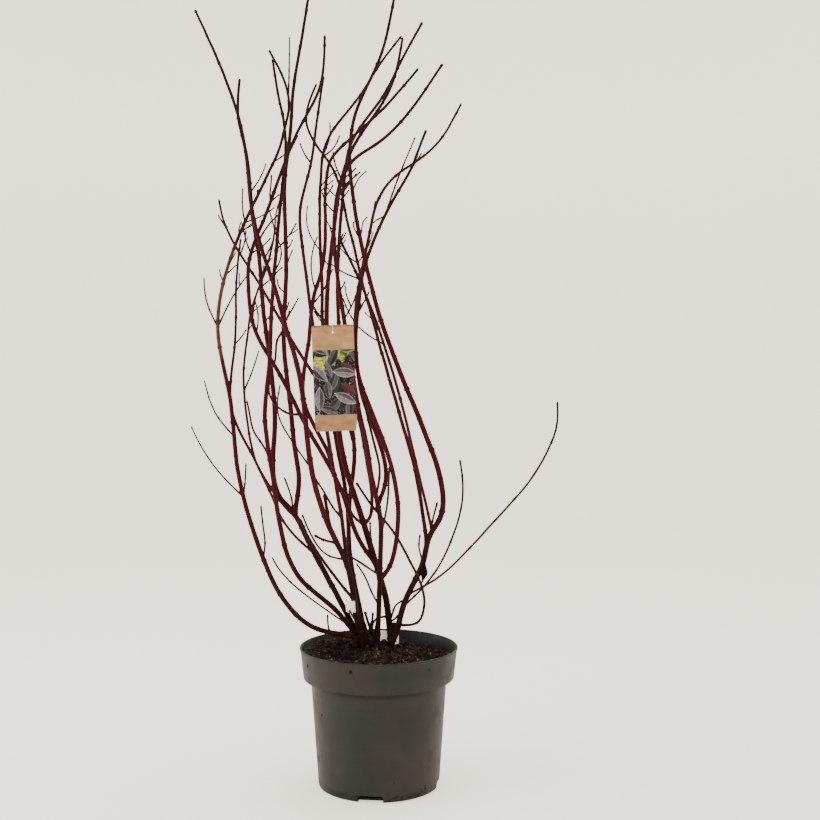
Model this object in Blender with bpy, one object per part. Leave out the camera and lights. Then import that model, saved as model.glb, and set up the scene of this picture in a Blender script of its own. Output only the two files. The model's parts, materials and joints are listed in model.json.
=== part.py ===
"""Potted red-barked dogwood: a bare winter shrub of bowed stems in a round nursery pot.

Metres, +Z up, the origin at the middle of the pot's flat underside, the front towards -Y.
Stems are drawn as the front view shows them, in millimetres across and up on the plane
through the pot's axis, and are then set back or forward along the line of sight.
"""

import math
from dataclasses import dataclass

import bmesh
import bpy
import numpy as np
from mathutils import Matrix, Vector
from mathutils.bvhtree import BVHTree

MM = 0.001

# Clearances between neighbouring solids
SEAT_GAP = 0.3 * MM
CROSSING_GAP = 1.0 * MM

# Pot
POT_RIM_RADIUS = 147.2 * MM
POT_RIM_HEIGHT = 258.5 * MM
POT_LIP_HEIGHT = 4.0 * MM
POT_LIP_PROUD = 1.6 * MM
POT_COLLAR_FOOT_RADIUS = 140.0 * MM
POT_COLLAR_FOOT_HEIGHT = 201.5 * MM
POT_BODY_TOP_RADIUS = 126.4 * MM
POT_BODY_FOOT_RADIUS = 112.5 * MM
POT_LIP_ROUND = 0.8 * MM
POT_FOOT_ROUND = 3.0 * MM
POT_FOOT_BEVEL = 0.9 * MM
POT_WALL = 2.2 * MM
POT_FLOOR = 4.0 * MM
POT_SIDES = 48
NOTCH_COUNT = 4
NOTCH_WIDTH = 45.0 * MM
NOTCH_HEIGHT = 11.0 * MM
NOTCH_DEPTH = 16.0 * MM
NOTCH_CORNER = 5.0 * MM
ARC_POINTS = 4
NOTCH_TURN = math.radians(-96.6)

# Compost in the pot
SOIL_HEIGHT = 240.0 * MM
SOIL_SEAT_RADIUS = 48.0 * MM
SOIL_SEAT_BACK = 30.0 * MM
SOIL_SWELL = 2.7 * MM
SOIL_DIP = 3.2 * MM
SOIL_WAVES = ((38.0, 31.0, 0.5, 0.5), (38.0, -31.0, 1.7, 0.5), (71.0, -53.0, 0.0, 0.6))
SOIL_RINGS = 7

# Shrub
VIEWPOINT = np.array([58.0, -2398.0, 817.0]) * MM
RING_SPACING = 28.0 * MM
TAPER = 1.3
CUT_MARGIN = 0.2
BOUGH_SIDES = 6
SPRAY_SIDES = 5
TWIG_SIDES = 3
BELLY_SHARE = 0.5
STOOL_DOME = 11.0 * MM
STOOL_BLOCK = 200.0 * MM
STOOL_ROOT = 3.0 * MM
STOOL_NECKS = np.array([[9.0], [3.0], [0.0]]) * MM
STOOL_FLARES = np.array([1.3, 1.2, 1.05, 1.0])
STOOLS = (
    ("left", (-25.0 * MM, 34.0 * MM), (22.0 * MM, 29.0 * MM)),
    ("right", (18.0 * MM, 31.0 * MM), (21.0 * MM, 24.0 * MM)),
)

# Side twigs that grow by rule
NODE_SPACING = 62.0 * MM
TWIG_CHANCE = 0.42
TWIG_LENGTHS = (26.0 * MM, 70.0 * MM)
TWIG_GIRTH = (2.2 * MM, 1.4 * MM)
TWIG_LEAN = math.radians(42.0)
TWIG_LEAN_SPREAD = (0.8, 1.2)
TWIG_CURL = 0.55
TWIG_RINGS = 4
TWIG_RUN_SHARE = 0.82
TWIG_ROOT_SWELL = 1.2
TWIG_BAND = (760.0 * MM, 1160.0 * MM)
TWIG_OUTWARD = 12.0 * MM
CROWN_CENTRE = np.array([-90.0, 0.0]) * MM

# Tag
TAG_WIDTH = 72.0 * MM
TAG_LENGTH = 181.0 * MM
TAG_THICK = 1.0 * MM
TAG_CORNER = 3.0 * MM
TAG_HOLE_RADIUS = 3.0 * MM
TAG_HOLE_SIDES = 12
TAG_HOLE_DROP = 11.0 * MM
TAG_RISE = 2.2 * MM
TAG_TURN = math.radians(-2.0)
TIE_GIRTH = 1.6 * MM
TIE_SLACK = 0.4 * MM
TIE_BULGE = 1.6
TIE_STEPS = 6
TAG_STEM = "l"
TAG_AHEAD = 12.0 * MM
TAG_ACROSS = -21.0 * MM
TAG_HEIGHT = 849.0 * MM


@dataclass(frozen=True)
class Stem:
    """One cane of the clump: its knots are (across, height) in mm, its girths are diameters.

    depth is how far behind the middle plane it stands at its foot, belly and tip, in mm.
    A stem with a parent leaves it at the first knot; cuts are the heights in mm at which it
    is divided, the last of them where its spray of twigs begins.
    """

    name: str
    girth: tuple
    depth: tuple
    knots: tuple
    cuts: tuple = ()
    parent: str = ""
    stool: str = ""


@dataclass(frozen=True)
class Twig:
    """A side twig that shows in the outline, fused to the spray of the stem that bears it."""

    stem: str
    depth: float
    knots: tuple


STEMS = (
    Stem("a", (9.0, 3.0), (-3, 20, 40),
         ((-44, 274), (-60, 278), (-108, 288), (-229, 464), (-260, 585), (-275, 726), (-295, 847),
          (-295, 858), (-196, 1141), (-178, 1184), (-171, 1210), (-163, 1245), (-199, 1354)),
         (345, 500), stool="left"),
    Stem("b", (9.0, 3.0), (26, -110, -60),
         ((-39, 275), (-82, 327), (-144, 383), (-191, 541), (-208, 661), (-209, 673), (-199, 805),
          (-198, 843), (-187, 993), (-177, 1094), (-175, 1241), (-178, 1253), (-192, 1338)),
         (500, 800), stool="left"),
    Stem("c", (10.5, 3.4), (50, 90, 130),
         ((-35, 269), (-62, 323), (-137, 469), (-165, 516), (-176, 527), (-195, 607), (-192, 653),
          (-215, 931), (-216, 953), (-230, 1047), (-244, 1181), (-266, 1268), (-333, 1426)),
         (480, 800), stool="left"),
    Stem("g", (10.5, 3.2), (18, -170, -110),
         ((-29, 273), (-42, 312), (-46, 346), (-52, 382), (-62, 418), (-78, 452), (-122, 577),
          (-136, 690), (-137, 700), (-160, 816), (-167, 837), (-183, 898), (-230, 1059),
          (-241, 1166), (-255, 1229), (-252, 1303)),
         (560,), stool="left"),
    Stem("j", (8.8, 3.4), (60, 200, 120),
         ((-25, 271), (-34, 322), (-51, 412), (-52, 543), (-45, 600), (-49, 667), (-64, 762),
          (-72, 1012), (-59, 1143), (-54, 1172), (4, 1263), (38, 1325), (81, 1404)),
         (500, 800), stool="left"),
    Stem("s", (8.0, 3.0), (38, 150, 90),
         ((-24, 280), (-54, 441), (-59, 531), (-77, 632), (-89, 733), (-103, 863), (-104, 946),
          (-107, 1011), (-105, 1125), (-98, 1177), (-32, 1273), (-2, 1320), (43, 1379)),
         (500, 800), stool="left"),
    Stem("u", (7.2, 2.8), (27, -140, -170),
         ((-26, 277), (-54, 382), (-68, 494), (-82, 578), (-123, 872), (-139, 997), (-142, 1072),
          (-126, 1134), (-113, 1219), (-99, 1307)),
         (700,), stool="left"),
    Stem("k", (12.0, 3.2), (46, 110, 50),
         ((21, 266), (18, 315), (14, 342), (-7, 418), (-37, 515), (-64, 605), (-79, 713), (-92, 804),
          (-95, 877), (-79, 1048), (-67, 1119), (-46, 1177), (20, 1280), (45, 1377)),
         (440, 800), stool="right"),
    Stem("l", (9.0, 3.2), (22, -165, -90),
         ((-2, 269), (4, 457), (4, 484), (-14, 580), (-18, 609), (-38, 706), (-51, 783), (-68, 895),
          (-80, 1056), (-43, 1157), (-6, 1182), (107, 1313), (118, 1329)),
         (500, 800), stool="right"),
    Stem("o", (10.8, 3.4), (24, 20, -20),
         ((32, 269), (37, 306), (50, 345), (68, 382), (83, 419), (96, 466), (113, 496), (119, 525),
          (116, 560), (78, 674), (60, 718), (4, 865), (-30, 997), (-45, 1079), (-52, 1170),
          (-41, 1240), (1, 1334), (30, 1452)),
         (482, 760), stool="right"),
    Stem("d", (9.0, 3.6), (0, -10, -30),
         ((-153, 507), (-148, 576), (-153, 614), (-163, 712), (-174, 817), (-169, 958), (-171, 1110),
          (-159, 1224), (-156, 1270), (-141, 1361), (-125, 1457)),
         (760,), parent="c"),
    Stem("e", (4.6, 2.6), (0, 160, 150),
         ((-122, 428), (-181, 499), (-194, 530), (-227, 603), (-244, 693), (-248, 771), (-242, 824),
          (-234, 878), (-202, 969), (-189, 1031)),
         (690,), parent="c"),
    Stem("f", (5.2, 2.6), (0, 30, 110),
         ((-146, 494), (-206, 562), (-230, 608), (-270, 695), (-264, 822), (-261, 925), (-252, 1013)),
         (640,), parent="c"),
    Stem("h", (8.2, 3.0), (0, -100, -100),
         ((-11, 410), (-33, 451), (-68, 545), (-127, 656), (-195, 787), (-225, 840), (-239, 927),
          (-239, 958), (-208, 1051), (-198, 1077), (-142, 1215), (-107, 1286), (-97, 1381)),
         (800,), parent="k"),
    Stem("i", (7.2, 3.0), (0, -120, -150),
         ((-77, 577), (-90, 609), (-138, 718), (-128, 826), (-119, 905), (-106, 948), (-95, 1120),
          (-87, 1154), (-56, 1189), (20, 1259), (74, 1321)),
         (820,), parent="h"),
    Stem("m", (8.4, 3.0), (0, -150, -130),
         ((2, 385), (10, 392), (29, 435), (34, 539), (-25, 725), (-29, 735), (-39, 865), (-35, 902),
          (-31, 938), (-6, 1014), (28, 1084), (60, 1139), (79, 1187), (88, 1210)),
         (760,), parent="l"),
    Stem("n", (7.4, 2.8), (0, 60, 110),
         ((1, 525), (8, 546), (-30, 723), (-42, 820), (-43, 856), (-19, 1008), (16, 1110), (96, 1173),
          (152, 1258)),
         (800,), parent="l"),
    Stem("p", (7.0, 3.0), (0, 180, 140),
         ((88, 447), (76, 541), (62, 609), (47, 661), (42, 679), (-2, 832), (-15, 879), (-29, 928),
          (-43, 990), (-58, 1050), (-81, 1135), (-131, 1222), (-112, 1293)),
         (800,), parent="o"),
    Stem("q", (4.4, 2.4), (0, -90, -120),
         ((98, 473), (90, 511), (70, 596), (24, 774), (-32, 929), (-69, 1008)),
         (760,), parent="o"),
    Stem("t", (7.0, 2.4), (0, 160, 20),
         ((-47, 642), (-53, 662), (-121, 766), (-219, 930), (-285, 1052), (-292, 1085)),
         (850,), parent="j"),
)

# Thin young shoots without a spray
SHOOTS = (
    Stem("arching", (3.6, 2.6), (0, -90, -60),
         ((39, 297), (76, 306), (83, 324), (84, 351), (60, 413), (25, 475), (-9, 516), (-42, 564)),
         parent="o"),
    Stem("upright", (2.8, 2.0), (0, 60, 90),
         ((43, 333), (84, 369), (136, 460), (156, 555), (150, 607)),
         parent="o"),
    Stem("long", (3.0, 2.0), (0, -30, -60),
         ((54, 355), (110, 386), (159, 431), (231, 510), (278, 565), (316, 631), (331, 672),
          (331, 714)),
         parent="o"),
    Stem("low", (2.0, 1.6), (0, 70, 110),
         ((-59, 292), (-122, 344), (-191, 412), (-198, 425)),
         parent="b"),
    Stem("middle", (3.0, 2.0), (0, -60, -80),
         ((-10, 387), (-31, 412), (-77, 440)),
         parent="k"),
    Stem("inner", (4.6, 2.4), (0, -70, -110),
         ((-57, 343), (-125, 453), (-146, 497)),
         parent="g"),
)

TWIGS = (
    Twig("a", -30, ((-257, 563), (-289, 583), (-319, 616), (-346, 668))),
    Twig("a", 25, ((-269, 648), (-302, 694), (-321, 753))),
    Twig("a", -20, ((-297, 849), (-317, 904), (-320, 942))),
    Twig("a", 30, ((-293, 850), (-260, 918), (-236, 951))),
    Twig("e", -30, ((-246, 735), (-232, 770), (-220, 808))),
    Twig("d", 25, ((-172, 856), (-160, 880), (-146, 905))),
    Twig("g", -30, ((-125, 587), (-165, 648), (-186, 695), (-181, 744))),
    Twig("s", 20, ((-104, 1164), (-90, 1190), (-88, 1225))),
    Twig("s", -20, ((-104, 1160), (-82, 1176), (-70, 1200))),
    Twig("a", 20, ((-165, 1262), (-162, 1320), (-161, 1378))),
    Twig("m", -25, ((16, 1060), (22, 1082), (35, 1118), (45, 1143), (68, 1197))),
)


def spline(knots, spacing):
    """Points every `spacing` along a natural cubic curve through the knots, by chord length."""
    knots = np.asarray(knots, float)
    chord = np.concatenate([[0.0], np.cumsum(np.linalg.norm(np.diff(knots, axis=0), axis=1))])
    count = len(knots)
    step = np.diff(chord)
    matrix = np.eye(count)
    rise = np.zeros_like(knots)
    for i in range(1, count - 1):
        matrix[i, i - 1 : i + 2] = step[i - 1], 2 * (step[i - 1] + step[i]), step[i]
        slope = (knots[i + 1] - knots[i]) / step[i] - (knots[i] - knots[i - 1]) / step[i - 1]
        rise[i] = 6 * slope
    bend = np.linalg.solve(matrix, rise)
    at = np.linspace(0, chord[-1], max(3, 1 + round(chord[-1] / spacing)))
    i = np.clip(np.searchsorted(chord, at, side="right") - 1, 0, count - 2)
    h = step[i][:, None]
    left = (at - chord[i])[:, None]
    right = h - left
    return (
        bend[i] * right**3 / (6 * h)
        + bend[i + 1] * left**3 / (6 * h)
        + (knots[i] / h - bend[i] * h / 6) * right
        + (knots[i + 1] / h - bend[i + 1] * h / 6) * left
    )


def ease(t):
    """0 to 1 with level ends, so that a stem leaves its foot and passes its belly smoothly."""
    t = np.clip(t, 0, 1)
    return 0.5 - 0.5 * np.cos(math.pi * t)


def set_back(flat, depth):
    """Points on the middle plane moved along the line of sight to `depth` behind it."""
    front = np.column_stack([flat[:, 0], np.zeros(len(flat)), flat[:, 1]])
    return front + (front - VIEWPOINT) * (np.asarray(depth) / -VIEWPOINT[1])[:, None]


def depth_at(depth, share, belly_share):
    """Foot to belly to tip, each stretch eased."""
    foot, belly, tip = depth
    rising = foot + (belly - foot) * ease(share / belly_share)
    closing = belly + (tip - belly) * ease((share - belly_share) / (1 - belly_share))
    return np.where(share < belly_share, rising, closing)


def stem_line(knots, depth, girth):
    """A stem's centre line, a point every RING_SPACING, and its radius at each."""
    flat = spline(np.array(knots) * MM, RING_SPACING)
    run = np.concatenate([[0.0], np.cumsum(np.linalg.norm(np.diff(flat, axis=0), axis=1))])
    share = run / run[-1]
    points = set_back(flat, depth_at(np.array(depth) * MM, share, BELLY_SHARE))
    foot, tip = girth
    return points, (foot + (tip - foot) * share**TAPER) * MM / 2


def nearest(points, line, radii):
    """For each point, its distance from a tapering line's surface."""
    start, along = line[:-1], np.diff(line, axis=0)
    offset = points[:, None] - start[None]
    share = np.clip((offset * along).sum(-1) / (along**2).sum(-1), 0, 1)
    gap = np.linalg.norm(offset - share[..., None] * along, axis=-1)
    return (gap - (radii[:-1] + share * np.diff(radii))).min(axis=1)


def denser(line, radii, steps=8):
    """The same broken line with `steps` points on each of its straight runs."""
    at = np.linspace(0, len(line) - 1, (len(line) - 1) * steps + 1)
    index = np.arange(len(line))
    fine = np.column_stack([np.interp(at, index, line[:, axis]) for axis in range(3)])
    return fine, np.interp(at, index, radii)


def clearance(line, radii, others):
    """The least gap between a line's surface and those of the other lines."""
    fine, girth = denser(line, radii)
    return min((float((nearest(fine, *other) - girth).min()) for other in others), default=1.0)


def trimmed(line, radii, parent):
    """The line from where its flat foot first stands SEAT_GAP clear of its parent's bark."""
    steps = 120
    fine, girth = denser(line, radii, steps)
    bark = BVHTree.FromPolygons(
        rings_along(*parent, BOUGH_SIDES).reshape(-1, 3).tolist(), tube_faces(len(parent[0]), BOUGH_SIDES)
    )
    clear = int(np.nonzero(nearest(fine, *parent) - girth < SEAT_GAP)[0][-1]) + 1
    for first in range(clear, 0, -1):
        along = fine[first + 1] - fine[first - 1]
        foot = rings_along(np.array([fine[first], fine[first] + along]), girth[first : first + 2], BOUGH_SIDES)[0]
        edge, _ = denser(np.vstack([foot, foot[:1]]), np.zeros(BOUGH_SIDES + 1))
        if min(bark.find_nearest(point)[3] for point in edge) < SEAT_GAP:
            break
    first += 1
    keep = first // steps + 1
    if keep < len(line) - 1 and np.linalg.norm(line[keep] - fine[first]) < RING_SPACING / 4:
        keep += 1
    return np.vstack([fine[first], line[keep:]]), np.concatenate([[girth[first]], radii[keep:]])


def rooted(knots, line):
    """The knots with the first of them moved onto a line in the front view, and the depth there."""
    reach = -VIEWPOINT[1] / (line[:, 1] - VIEWPOINT[1])
    front = (VIEWPOINT + (line - VIEWPOINT) * reach[:, None])[:, ::2] / MM
    i = np.hypot(*(front - knots[0]).T).argmin()
    return np.vstack([front[i], knots[1:]]), line[i, 1] / MM


def placed(stem, lines):
    """The stem's line, begun on its parent's side at the parent's own depth there."""
    parent = lines.get(stem.parent)
    if parent is None:
        return stem_line(stem.knots, stem.depth, stem.girth)
    knots, foot = rooted(stem.knots, denser(*parent)[0])
    return trimmed(*stem_line(knots, (foot, *stem.depth[1:]), stem.girth), parent)


def rings_along(line, radii, sides):
    """A ring of points round each point of the line, all turned the same way."""
    along = np.gradient(line, axis=0)
    along[0], along[-1] = line[1] - line[0], line[-1] - line[-2]
    along /= np.linalg.norm(along, axis=1)[:, None]
    upright = np.abs(along[0, 1]) > 0.95
    across = np.cross(along, (1.0, 0.0, 0.0) if upright else (0.0, 1.0, 0.0))
    across /= np.linalg.norm(across, axis=1)[:, None]
    other = np.cross(along, across)
    turn = np.arange(sides) * 2 * math.pi / sides
    round_it = np.cos(turn)[:, None] * across[:, None] + np.sin(turn)[:, None] * other[:, None]
    return line[:, None] + radii[:, None, None] * round_it


def tube_faces(count, sides):
    """The faces of a closed tube with `count` rings of `sides` points."""
    faces = [
        (i * sides + k, i * sides + (k + 1) % sides, (i + 1) * sides + (k + 1) % sides, (i + 1) * sides + k)
        for i in range(count - 1)
        for k in range(sides)
    ]
    faces.append(tuple(reversed(range(sides))))
    faces.append(tuple(range((count - 1) * sides, count * sides)))
    return faces


def tube(name, line, radii, sides):
    """A closed tapering tube with flat ends."""
    rings = rings_along(line, radii, sides)
    return new_object(name, rings.reshape(-1, 3), tube_faces(len(rings), sides))


def new_object(name, points, faces):
    """A smooth-shaded mesh object in the scene."""
    mesh = bpy.data.meshes.new(name)
    mesh.from_pydata([tuple(point) for point in points], [], faces)
    mesh.shade_smooth()
    obj = bpy.data.objects.new(name, mesh)
    bpy.context.scene.collection.objects.link(obj)
    return obj


def finish(name, colour, roughness):
    """A plain material of the part's colour."""
    material = bpy.data.materials.new(name)
    material.use_nodes = True
    shader = material.node_tree.nodes["Principled BSDF"]
    shader.inputs["Base Color"].default_value = (*colour, 1.0)
    shader.inputs["Roughness"].default_value = roughness
    return material


def turned(name, profile, sides):
    """A closed solid turned from a profile of (radius, height) that starts and ends on the axis."""
    points, faces, loops = [], [], []
    turn = np.arange(sides) * 2 * math.pi / sides
    for radius, height in profile:
        if radius == 0:
            loops.append([len(points)] * sides)
            points.append((0.0, 0.0, height))
        else:
            loops.append(list(range(len(points), len(points) + sides)))
            points += [(radius * math.cos(t), radius * math.sin(t), height) for t in turn]
    for low, high in zip(loops, loops[1:]):
        for k in range(sides):
            corners = (low[k], low[(k + 1) % sides], high[(k + 1) % sides], high[k])
            faces.append(tuple(dict.fromkeys(corners)))
    return new_object(name, points, faces)


def combine(target, helper, operation):
    """The exact Boolean of a solid with a helper, which is then removed."""
    cut = target.modifiers.new("combine", "BOOLEAN")
    cut.operation = operation
    cut.object = helper
    apply_modifiers(target)
    bpy.data.objects.remove(helper)


def apply_modifiers(obj):
    """Replaces the object's mesh with what its modifiers make of it."""
    graph = bpy.context.evaluated_depsgraph_get()
    made = bpy.data.meshes.new_from_object(obj.evaluated_get(graph), depsgraph=graph)
    obj.modifiers.clear()
    obj.data = made


def inner_radius(height):
    """The pot's inside radius at a height on its body or its collar."""
    if height < POT_COLLAR_FOOT_HEIGHT:
        share = height / POT_COLLAR_FOOT_HEIGHT
        return POT_BODY_FOOT_RADIUS + (POT_BODY_TOP_RADIUS - POT_BODY_FOOT_RADIUS) * share - POT_WALL
    share = (height - POT_COLLAR_FOOT_HEIGHT) / (POT_RIM_HEIGHT - POT_COLLAR_FOOT_HEIGHT)
    top = POT_RIM_RADIUS - POT_LIP_PROUD
    return POT_COLLAR_FOOT_RADIUS + (top - POT_COLLAR_FOOT_RADIUS) * share - POT_WALL


def make_pot():
    """The pot: tapered body, wider collar with a rolled lip, and drain notches in its foot."""
    collar_top = POT_RIM_RADIUS - POT_LIP_PROUD
    step = POT_COLLAR_FOOT_HEIGHT + POT_WALL
    profile = [
        (0, 0),
        (POT_BODY_FOOT_RADIUS - POT_FOOT_ROUND, 0),
        (POT_BODY_FOOT_RADIUS - POT_FOOT_BEVEL, POT_FOOT_BEVEL),
        (POT_BODY_FOOT_RADIUS, POT_FOOT_ROUND),
        (POT_BODY_TOP_RADIUS, POT_COLLAR_FOOT_HEIGHT - POT_WALL / 2),
        (POT_COLLAR_FOOT_RADIUS, POT_COLLAR_FOOT_HEIGHT),
        (collar_top, POT_RIM_HEIGHT - POT_LIP_HEIGHT),
        (POT_RIM_RADIUS, POT_RIM_HEIGHT - POT_LIP_HEIGHT + POT_LIP_ROUND),
        (POT_RIM_RADIUS, POT_RIM_HEIGHT - POT_LIP_ROUND),
        (POT_RIM_RADIUS - POT_LIP_ROUND, POT_RIM_HEIGHT),
        (inner_radius(POT_RIM_HEIGHT), POT_RIM_HEIGHT),
        (POT_COLLAR_FOOT_RADIUS - POT_WALL, step),
        (inner_radius(POT_COLLAR_FOOT_HEIGHT - MM), step),
        (inner_radius(POT_FLOOR), POT_FLOOR),
        (0, POT_FLOOR),
    ]
    pot = turned("pot", profile, POT_SIDES)
    for i in range(NOTCH_COUNT):
        combine(pot, make_notch(NOTCH_TURN + i * 2 * math.pi / NOTCH_COUNT), "DIFFERENCE")
    return pot


def quarter_arc(across, height, radius, start):
    """Points of a quarter circle about a centre, begun `start` half turns round."""
    angle = math.pi * (start + np.linspace(0, 0.5, ARC_POINTS))
    return list(zip(across + radius * np.cos(angle), height + radius * np.sin(angle)))


def slab(name, outline, near, far):
    """A closed solid with the outline in the front view, from y = near to y = far."""
    count = len(outline)
    points = [(across, y, height) for y in (near, far) for across, height in outline]
    faces = [(k, (k + 1) % count, count + (k + 1) % count, count + k) for k in range(count)]
    faces += [tuple(range(count)), tuple(range(count, 2 * count))]
    solid = new_object(name, points, faces)
    recalculate(solid)
    return solid


def make_notch(turn):
    """A cutter for one drain notch, rounded at its upper corners."""
    half = NOTCH_WIDTH / 2
    across, height = half - NOTCH_CORNER, NOTCH_HEIGHT - NOTCH_CORNER
    outline = [(-half, -NOTCH_HEIGHT), (half, -NOTCH_HEIGHT)]
    outline += quarter_arc(across, height, NOTCH_CORNER, 0.0)
    outline += quarter_arc(-across, height, NOTCH_CORNER, 0.5)
    cutter = slab("notch", outline, POT_BODY_FOOT_RADIUS - NOTCH_DEPTH, POT_BODY_FOOT_RADIUS + NOTCH_DEPTH)
    cutter.data.transform(Matrix.Rotation(turn - math.pi / 2, 4, "Z"))
    return cutter


def recalculate(obj):
    """Turns every face outwards."""
    work = bmesh.new()
    work.from_mesh(obj.data)
    bmesh.ops.recalc_face_normals(work, faces=work.faces)
    work.to_mesh(obj.data)
    work.free()


def soil_height(x, y):
    """The compost's surface: level round the crown, gently uneven beyond it."""
    away = np.hypot(x, y - SOIL_SEAT_BACK)
    share = np.clip((away - SOIL_SEAT_RADIUS) / SOIL_SEAT_RADIUS, 0, 1)
    uneven = sum(weight * np.sin(a * x + b * y + phase) for a, b, phase, weight in SOIL_WAVES)
    return SOIL_HEIGHT + share * (SOIL_SWELL * uneven - SOIL_DIP)


def make_soil():
    """The compost that fills the pot, clear of its wall by the seat gap."""
    edge = inner_radius(SOIL_HEIGHT - 3 * SOIL_SWELL) - SEAT_GAP
    step = POT_COLLAR_FOOT_HEIGHT + POT_WALL + SEAT_GAP
    notch_top = NOTCH_HEIGHT + POT_WALL
    profile = [
        (0, notch_top),
        (inner_radius(notch_top) - SEAT_GAP, notch_top),
        (inner_radius(POT_COLLAR_FOOT_HEIGHT - MM) - SEAT_GAP, step),
        (POT_COLLAR_FOOT_RADIUS - POT_WALL - SEAT_GAP, step),
        (edge, SOIL_HEIGHT),
    ]
    profile += [(edge * k / SOIL_RINGS, SOIL_HEIGHT) for k in range(SOIL_RINGS - 1, -1, -1)]
    soil = turned("soil", profile, POT_SIDES)
    for vertex in soil.data.vertices:
        if vertex.co.z > SOIL_HEIGHT - MM:
            vertex.co.z = soil_height(vertex.co.x, vertex.co.y)
    return soil


def divided(line, radii, height):
    """The line below and above a height, with the seat gap between their flat ends.

    The cut keeps CUT_MARGIN of a ring spacing away from the rings on either side of it.
    """
    i = int(np.argmax(line[:, 2] > height))
    share = (height - line[i - 1, 2]) / (line[i, 2] - line[i - 1, 2])
    share = min(max(share, CUT_MARGIN), 1 - CUT_MARGIN)
    middle = line[i - 1] + share * (line[i] - line[i - 1])
    girth = radii[i - 1] + share * (radii[i] - radii[i - 1])
    along = (line[i] - line[i - 1]) / np.linalg.norm(line[i] - line[i - 1])
    below, above = middle - along * SEAT_GAP / 2, middle + along * SEAT_GAP / 2
    low = np.vstack([line[:i], below]), np.append(radii[:i], girth)
    high = np.vstack([above, line[i:]]), np.insert(radii[i:], 0, girth)
    return low, high


def rule_twigs(line, radii, taken, seed):
    """Twigs in crossed pairs from a spray's buds, each kept where it stays clear and in the crown."""
    rng = np.random.default_rng(seed)
    twigs = []
    run = np.concatenate([[0.0], np.cumsum(np.linalg.norm(np.diff(line, axis=0), axis=1))])
    for count, at in enumerate(np.arange(NODE_SPACING, run[-1] * TWIG_RUN_SHARE, NODE_SPACING)):
        point = np.array([np.interp(at, run, line[:, axis]) for axis in range(3)])
        i = min(int(np.searchsorted(run, at)), len(line) - 1)
        along = (line[i] - line[i - 1]) / np.linalg.norm(line[i] - line[i - 1])
        side = np.cross(along, (0.0, 1.0, 0.0))
        side = np.cross(along, side) if count % 2 else side
        side /= np.linalg.norm(side)
        for sign in (-1, 1):
            chance, length, lean = rng.random(), rng.uniform(*TWIG_LENGTHS), rng.uniform(*TWIG_LEAN_SPREAD)
            if chance > TWIG_CHANCE or not TWIG_BAND[0] < point[2] < TWIG_BAND[1]:
                continue
            twig = grown(point, along, sign * side, length, TWIG_LEAN * lean)
            root_away, *_, tip_away = np.hypot(*(twig[0][:, :2] - CROWN_CENTRE).T)
            rest = [other for other in taken if other[0] is not line] + twigs
            if tip_away < root_away + TWIG_OUTWARD and clearance(twig[0][1:], twig[1][1:], rest) > CROSSING_GAP:
                twigs.append(twig)
    return twigs


def grown(point, along, side, length, lean):
    """A twig that leaves at a lean and curls up towards the stem's own direction."""
    share = np.linspace(0, 1, TWIG_RINGS)
    angle = lean * (1 - TWIG_CURL * share)
    step = length / (TWIG_RINGS - 1)
    heading = np.outer(np.cos(angle), along) + np.outer(np.sin(angle), side)
    line = point + np.vstack([np.zeros(3), np.cumsum(heading[:-1] * step, axis=0)])
    return line, np.linspace(*TWIG_GIRTH, TWIG_RINGS) / 2


def outline_twig(twig, line):
    """A twig of the outline, from the middle of its stem."""
    knots, foot = rooted(twig.knots, denser(line, np.zeros(len(line)))[0])
    flat = spline(knots * MM, RING_SPACING)
    points = set_back(flat, (foot + twig.depth * np.linspace(0, 1, len(flat))) * MM)
    return points, np.linspace(TWIG_GIRTH[0] * TWIG_ROOT_SWELL, TWIG_GIRTH[1], len(flat)) / 2


def fuse(stem_object, pieces):
    """One union of a spray's stem with its twigs, which are then removed."""
    if not pieces:
        return
    group = bpy.data.collections.new("twigs")
    for piece in pieces:
        group.objects.link(piece)
    union = stem_object.modifiers.new("union", "BOOLEAN")
    union.operation = "UNION"
    union.operand_type = "COLLECTION"
    union.collection = group
    union.solver = "MANIFOLD"
    apply_modifiers(stem_object)
    for piece in pieces:
        bpy.data.objects.remove(piece)
    bpy.data.collections.remove(group)


def make_stool(name, stems, lines, centre, reach):
    """A low woody crown with a collar under each stem, cut flat where it sits on the compost."""
    work = bmesh.new()
    bmesh.ops.create_icosphere(work, subdivisions=2, radius=1.0)
    for vertex in work.verts:
        vertex.co.x = centre[0] + reach[0] * vertex.co.x
        vertex.co.y = centre[1] + reach[1] * vertex.co.y
        vertex.co.z = SOIL_HEIGHT + STOOL_DOME * vertex.co.z
    stool = new_object(name, [], [])
    work.to_mesh(stool.data)
    work.free()
    middle = np.array([*centre, SOIL_HEIGHT + STOOL_ROOT])
    collars = []
    for stem in stems:
        line, radii = lines[stem.name]
        along = (line[1] - line[0]) / np.linalg.norm(line[1] - line[0])
        end = line[0] - along * SEAT_GAP
        path = np.vstack([middle, end - along * STOOL_NECKS])
        collars.append(tube("collar", path, radii[0] * STOOL_FLARES, BOUGH_SIDES))
    fuse(stool, collars)
    level = bpy.data.meshes.new("level")
    ground = bmesh.new()
    bmesh.ops.create_cube(ground, size=STOOL_BLOCK)
    for vertex in ground.verts:
        vertex.co.z += SOIL_HEIGHT + SEAT_GAP - STOOL_BLOCK / 2
    ground.to_mesh(level)
    ground.free()
    cutter = bpy.data.objects.new("level", level)
    bpy.context.scene.collection.objects.link(cutter)
    combine(stool, cutter, "DIFFERENCE")
    return stool


def at_height(line, radii, height):
    """Where a rising line passes a height, and its radius there."""
    point = [np.interp(height, line[:, 2], line[:, axis]) for axis in range(3)]
    return np.array(point), float(np.interp(height, line[:, 2], radii))


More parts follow.
